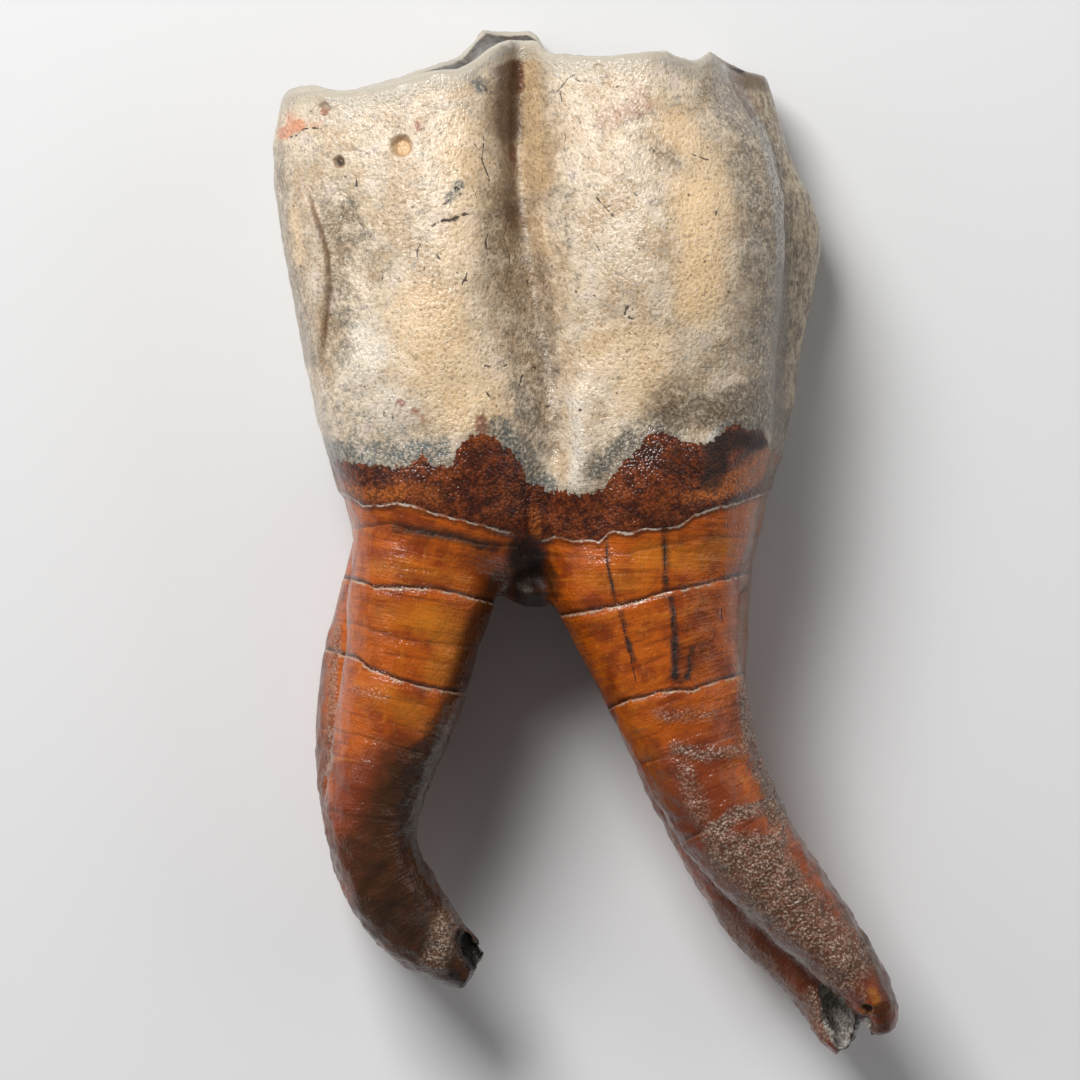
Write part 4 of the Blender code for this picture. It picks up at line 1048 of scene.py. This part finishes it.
def cream_enamel(look):
    """Warm, grey and rosy patches, warm painted light on walls, pale wrinkle tops with dirt between, grime
    with painted shade, and veins, most where the grime and shade lie.
    """
    cream = look.paint(
        "#dcc8ac",
        ("#c4aa8a", look.blotch, 0.42, 0.62, 1.0),
        ("#e2cdbc", look.blotch, 0.44, 0.3, 0.8),
        ("#a89e90", look.fine_blotch, 0.5, 0.7, 0.65),
        ("#e8d4bb", look.fine_blotch, 0.46, 0.3, 0.7),
    )
    # The distal face beyond the crest turns away from the lamp: its darker olive-brown streaks are its own
    # stain, with painted shade.
    far_grain = look.plus(look.times(look.streaky, 0.65), look.times(look.fine_blotch, 0.35))
    far_side_stain_and_shade = look.paint("#bca98c", ("#66523a", far_grain, 0.42, 0.62, 1.0))
    cream = look.over(cream, far_side_stain_and_shade, look.times(look.behind, 0.85))
    # Warm patches; on the groove's distal wall and on the distal lobe's flank they are painted light.
    cream = look.over(cream, "#f4cf9c", look.times(look.kept("warm_tone_and_light"), 0.82))
    cream = look.paint(
        cream,
        # Pale patches, and painted highlights on the distal crest and on edges.
        ("#e3dccf", look.stain("pale_and_highlight", 0.4), 0.1, 0.9, 0.8),
        ("#d98d63", look.stain("salmon", 0.9), 0.2, 0.8, 0.85),
        ("#94513a", look.stain("rust", 0.6), 0.2, 0.85, 0.8),
        ("#efe3d3", look.rugosity, 0.53, 0.68, 0.35),
        ("#6f5a45", look.rugosity, 0.47, 0.3, 0.5),
    )
    slate = look.ease(look.stain("slate", 0.9), 0.05, 1.0)
    low_slate = look.times(slate, look.ease(look.rugosity, 0.66, 0.4, 0.35, 1.0), 0.85)
    # Grey grime, with painted shade on the distal lobe's turned-away flank and lower part.
    grime_and_shade = look.ease(look.stain("grime_and_shade", 1.0), 0.1, 0.95)
    low_grime_and_shade = look.times(grime_and_shade, look.ease(look.rugosity, 0.7, 0.4, 0.4, 1.0), 0.72)
    veins = look.ease(look.combine("ABSOLUTE", look.jitter), 0.016, 0.004)
    cream = look.over(cream, "#4b5a60", low_slate)
    cream = look.over(cream, "#514a3d", low_grime_and_shade)
    cream = look.over(cream, "#39322b", look.times(veins, look.times(look.plus(grime_and_shade, 0.28), 0.6)))
    # The groove's brown stain, and painted shade down its valley.
    cream = look.paint(cream, ("#4c3119", look.stain("groove_stain_and_shade", 0.5), 0.0, 1.1, 0.9))
    # The fold's crease is painted dark brown: a brown line, with painted shade in the crease.
    cream = look.over(cream, "#6e4a26", look.times(look.kept("fold"), 0.72))
    specks = look.noise(look.sheet, 0.6, 1.0, 0.5, shift=11)
    return look.paint(cream, ("#2c2621", specks, 0.27, 0.22, 0.75))


def brown_enamel(look):
    """Enamel stained brown: granular and dark between its beads, orange where the stain is thin."""
    return look.paint(
        "#7c3a18",
        ("#451c0d", look.fine_blotch, 0.36, 0.6, 1.0),
        ("#9c4f1e", look.blotch, 0.5, 0.7, 0.5),
        ("#c26a2a", look.stain("warm_tone_and_light", 0.9), 0.1, 1.0, 0.85),
        ("#331a10", look.stain("dusk_stain_and_shade", 0.9), 0.1, 1.0, 0.8),
        ("#241008", look.grain, 0.66, 0.42, 0.6),
        ("#1d0e08", look.stain("soot_and_shade", 0.7), 0.15, 0.9, 0.85),
    )


def amber_root(look):
    """Translucent amber dentine, with growth bands round each root and faint streaks down it."""
    return look.paint(
        "#b2540f",
        ("#87380e", look.blotch, 0.42, 0.66, 1.0),
        ("#c4701e", look.bands, 0.52, 0.75, 0.55),
        ("#6c2c0c", look.bands, 0.47, 0.28, 0.55),
        ("#cf8430", look.streaky, 0.54, 0.75, 0.25),
        ("#5a230c", look.fine_blotch, 0.55, 0.76, 0.45),
        ("#74321a", look.stain("rust", 0.7), 0.0, 1.0, 0.92),
        # Golden amber, with painted highlights high on the roots and on the distal tip.
        ("#c97c20", look.stain("gold_and_highlight", 0.8), 0.0, 1.1, 0.6),
        # Dark stain, with painted shade on the roots' turned-away sides.
        ("#3b2412", look.stain("dusk_stain_and_shade", 0.6), 0.0, 1.0, 0.95),
        # Soot, and painted shade in the fork between the roots.
        ("#120b07", look.stain("soot_and_shade", 0.8), 0.1, 0.95, 0.96),
    )


def enamel_and_roots(look):
    """Cream enamel down to the brown stain's ragged edge, brown to the neck, amber below its pale line, with
    a painted shadow under the neck.
    """
    stain_edge = look.plus(look.stain("above_stain", 1.6), look.times(look.fine_jitter, 1.0))
    grey_edge = look.times(look.ease(stain_edge, 1.4, 0.1), 0.4)
    cream = look.over(cream_enamel(look), "#4a4c48", grey_edge)
    enamel = look.over(brown_enamel(look), cream, look.ease(stain_edge, -0.1, 0.1))
    neck_edge = look.plus(look.stain("above_neck", 0.9), look.times(look.fine_jitter, 0.3))
    colour = look.over(amber_root(look), enamel, look.ease(neck_edge, -0.05, 0.05))
    neck_line = look.times(
        look.ease(look.combine("ABSOLUTE", neck_edge), 0.19, 0.07),
        look.ease(look.fine_blotch, 0.38, 0.56, 0.15, 0.9),
        look.ease(look.kept("soot_and_shade"), 0.35, 0.2),
    )
    # A painted shadow under the enamel's edge, darkest just below the neck line.
    shadow_below_neck = look.combine("ABSOLUTE", look.plus(neck_edge, 0.3))
    colour = look.over(colour, "#26130b", look.times(look.ease(shadow_below_neck, 0.35, 0.1), 0.5))
    return look.over(colour, "#c4b5a4", neck_line)


def growth_ledges(look, colour):
    """Each ledge has a dark crevice above, a painted shadow, and a pale, broken lip below: crust with a
    painted highlight.
    """
    ledge = look.stain("above_ledge", 0.45)
    near = look.kept("ledge_near")
    # Painted shadow in the crevice under each ledge's rolled-in upper part.
    crevice_shadow = look.times(look.ease(ledge, -0.1, 0.0), look.ease(ledge, 0.6, 0.05), near, 0.85)
    lip = look.times(look.ease(ledge, -0.04, -0.1), look.ease(ledge, -0.36, -0.16), near)
    gaps = look.ease(look.fine_blotch, 0.4, 0.56, 0.1, 1.0)
    # The lip's pale colour is crust, with a painted highlight on its upturned edge.
    colour = look.over(colour, "#b39a82", look.times(lip, look.kept("ledge_pale"), gaps))
    return look.over(colour, "#190d08", crevice_shadow)


def ash_reflection_crust_and_cracks(look, colour):
    """Ash-grey edges, a painted reflection down the distal edge, grey-tan grains of crust with dark between
    them, the seam and the cracks.
    """
    ash_and_reflection = look.ease(look.stain("ash_and_reflection", 0.9), 0.2, 1.0, 0.0, 0.8)
    colour = look.over(colour, "#8b8075", look.times(ash_and_reflection, look.ease(look.streaky, 0.35, 0.6, 0.45, 1.0)))
    crust = look.ease(look.stain("crust", 0.8), 0.1, 0.9)
    grains = look.plus(look.times(look.grain, 0.5), look.times(look.fine_blotch, 0.5))
    crust_colour = look.paint(
        "#947c6a",
        ("#624636", grains, 0.6, 0.5, 1.0),
        ("#bcae9f", grains, 0.6, 0.74, 0.75),
    )
    patchy = look.ease(look.fine_blotch, 0.66, 0.44, 0.3, 0.92)
    colour = look.over(colour, crust_colour, look.times(crust, patchy))
    patchy = look.ease(look.fine_blotch, 0.3, 0.55, 0.3, 0.9)
    colour = look.over(colour, "#8a7770", look.times(look.ease(look.kept("seam"), 0.2, 0.6), patchy))
    return look.over(colour, "#1a1512", look.times(look.ease(look.kept("crack"), 0.2, 0.75), 0.88))


def pits_and_worn_end(look, colour):
    """Pits with a pale floor, the polished rim, and enamel round dull dentine on the chewing end."""
    # Each pit is painted darker towards its middle, a golden-brown ring round a dark core: painted shade in
    # the pit over its brown.
    pit = look.kept("pit")
    colour = look.paint(colour, ("#8a5f35", pit, 0.6, 1.1, 0.6), ("#33210f", pit, 0.95, 1.35, 0.85))
    colour = look.over(colour, "#cba678", look.kept("pit_floor"))
    on_top = look.kept("on_top")
    side = look.times(look.minus(1.0, on_top), look.ease(look.behind, 0.9, 0.0, 0.15, 1.0))
    below_rim = look.stain("below_rim", 0.9)
    colour = look.over(colour, "#c2b59f", look.times(look.ease(below_rim, 2.2, 1.6), side, 0.75))
    streaks = look.ease(look.blotch, 0.56, 0.42, 0.15, 0.8)
    colour = look.over(colour, "#868b90", look.times(look.ease(below_rim, 1.3, 0.8), side, streaks))
    inside_rim = look.stain("inside_rim", 0.5)
    rim_colour = look.over("#b5ac9c", "#6b543c", look.behind)
    colour = look.over(colour, rim_colour, look.times(on_top, look.ease(inside_rim, 1.9, 1.5)))
    dentine_colour = look.paint("#5e5347", ("#2c241d", look.fine_blotch, 0.32, 0.68, 1.0))
    colour = look.over(colour, dentine_colour, look.times(on_top, look.ease(inside_rim, 1.5, 1.8)))
    # Painted shade in the gap between the crest and the ridge behind it on the chewing end.
    return look.over(colour, "#2b211a", look.times(look.behind, look.ease(look.kept("soot_and_shade"), 0.2, 0.7)))


def hollow_tips(look, colour):
    """Broken hollows, painted dark as shade in the mesial root, lined with silvery mineral in the distal
    root.
    """
    mineral = look.plus(look.times(look.rugosity, 0.5), look.times(look.fine_blotch, 0.5))
    silver = look.paint("#7c766e", ("#d6d1c8", mineral, 0.4, 0.6, 1.0))
    silver_lining_and_shade = look.over("#15100c", silver, look.kept("silver"))
    return look.over(colour, silver_lining_and_shade, look.times(look.hollow, 0.94))


def relief(look):
    """Wrinkled cream, beaded brown, roots with faint bands and dimples, and rough crust, from 0 to 1."""
    cream_side = look.ease(look.kept("above_stain"), -0.1, 0.1)
    enamel_side = look.ease(look.kept("above_neck"), -0.1, 0.1)
    wrinkled = look.ease(look.kept("below_rim"), 0.4, 1.0, 0.1, 0.62)
    wrinkles = look.times(look.rugosity, cream_side, wrinkled)
    beaded = look.times(look.grain, 0.36, look.minus(enamel_side, cream_side))
    banded = look.plus(look.times(look.bands, 0.5), look.times(look.rugosity, 0.35))
    dimples = look.times(banded, look.minus(1.0, enamel_side))
    rough = look.combine("MAXIMUM", look.kept("crust"), look.hollow)
    return look.plus(wrinkles, beaded, dimples, look.times(rough, look.grain, 0.6))


def fossil_tooth_material():
    """Fossil enamel and dentine, mineral-stained and lacquered by handling.

    The brown enamel and the roots shine wetly, sooty and shaded places are drier and the hollows are dull.
    """
    material = bpy.data.materials.new("fossil_enamel_and_dentine")
    material.use_nodes = True
    look = Look(material.node_tree)
    colour = enamel_and_roots(look)
    for dress in (growth_ledges, ash_reflection_crust_and_cracks, pits_and_worn_end, hollow_tips):
        colour = dress(look, colour)
    gloss = look.ease(look.kept("soot_and_shade"), 0.1, 1.0, 0.21, 0.6)
    gloss = look.ease(look.hollow, 0.0, 1.0, gloss, 0.5)
    height = {"Strength": 1.0, "Distance": RELIEF_HEIGHT * MM, "Height": relief(look)}
    bump = look.add("ShaderNodeBump", height)
    shader = look.tree.nodes["Principled BSDF"]
    for name, value in (("Base Color", colour), ("Roughness", gloss), ("Normal", bump.outputs[0])):
        look.tree.links.new(value, shader.inputs[name])
    shader.inputs["IOR"].default_value = 1.5
    return material


def pale_floor():
    bpy.ops.object.select_all(action="DESELECT")
    bpy.ops.mesh.primitive_plane_add(size=FLOOR_SIZE, location=(0, 0, 0))
    floor = bpy.context.object
    floor.name = "floor"
    material = bpy.data.materials.new("matt_white_card")
    material.use_nodes = True
    shader = material.node_tree.nodes["Principled BSDF"]
    shader.inputs["Base Color"].default_value = linear("#e0e0e0")
    shader.inputs["Roughness"].default_value = 0.9
    floor.data.materials.append(material)


def studio_light(name, place, size, watts):
    bpy.ops.object.light_add(type="AREA", location=place)
    lamp = bpy.context.object
    lamp.name = name
    lamp.data.size = size
    lamp.data.energy = watts
    lamp.rotation_euler = (-Vector(place)).to_track_quat("-Z", "Y").to_euler()


def light_and_camera(shift):
    for light in LIGHTS:
        studio_light(*light)
    world = bpy.data.worlds.new("studio")
    world.use_nodes = True
    background = world.node_tree.nodes["Background"]
    background.inputs["Color"].default_value = linear("#ffffff")
    background.inputs["Strength"].default_value = WORLD_LIGHT
    bpy.context.scene.world = world
    place = np.array((*VIEW_CENTRE, VIEW_DISTANCE + MID_DEPTH)) * MM + shift
    bpy.ops.object.camera_add(location=place)
    camera = bpy.context.object
    camera.rotation_euler = (0, 0, 0)
    camera.data.sensor_width = 36.0
    camera.data.lens = camera.data.sensor_width * VIEW_DISTANCE / VIEW_WIDTH
    camera.data.clip_start = 0.01
    bpy.context.scene.camera = camera
    bpy.context.scene.view_settings.view_transform = "Standard"


tooth, moved_by = make_tooth()
tooth.data.materials.append(fossil_tooth_material())
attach(tooth, "root")
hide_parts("tooth")
pale_floor()
light_and_camera(moved_by)
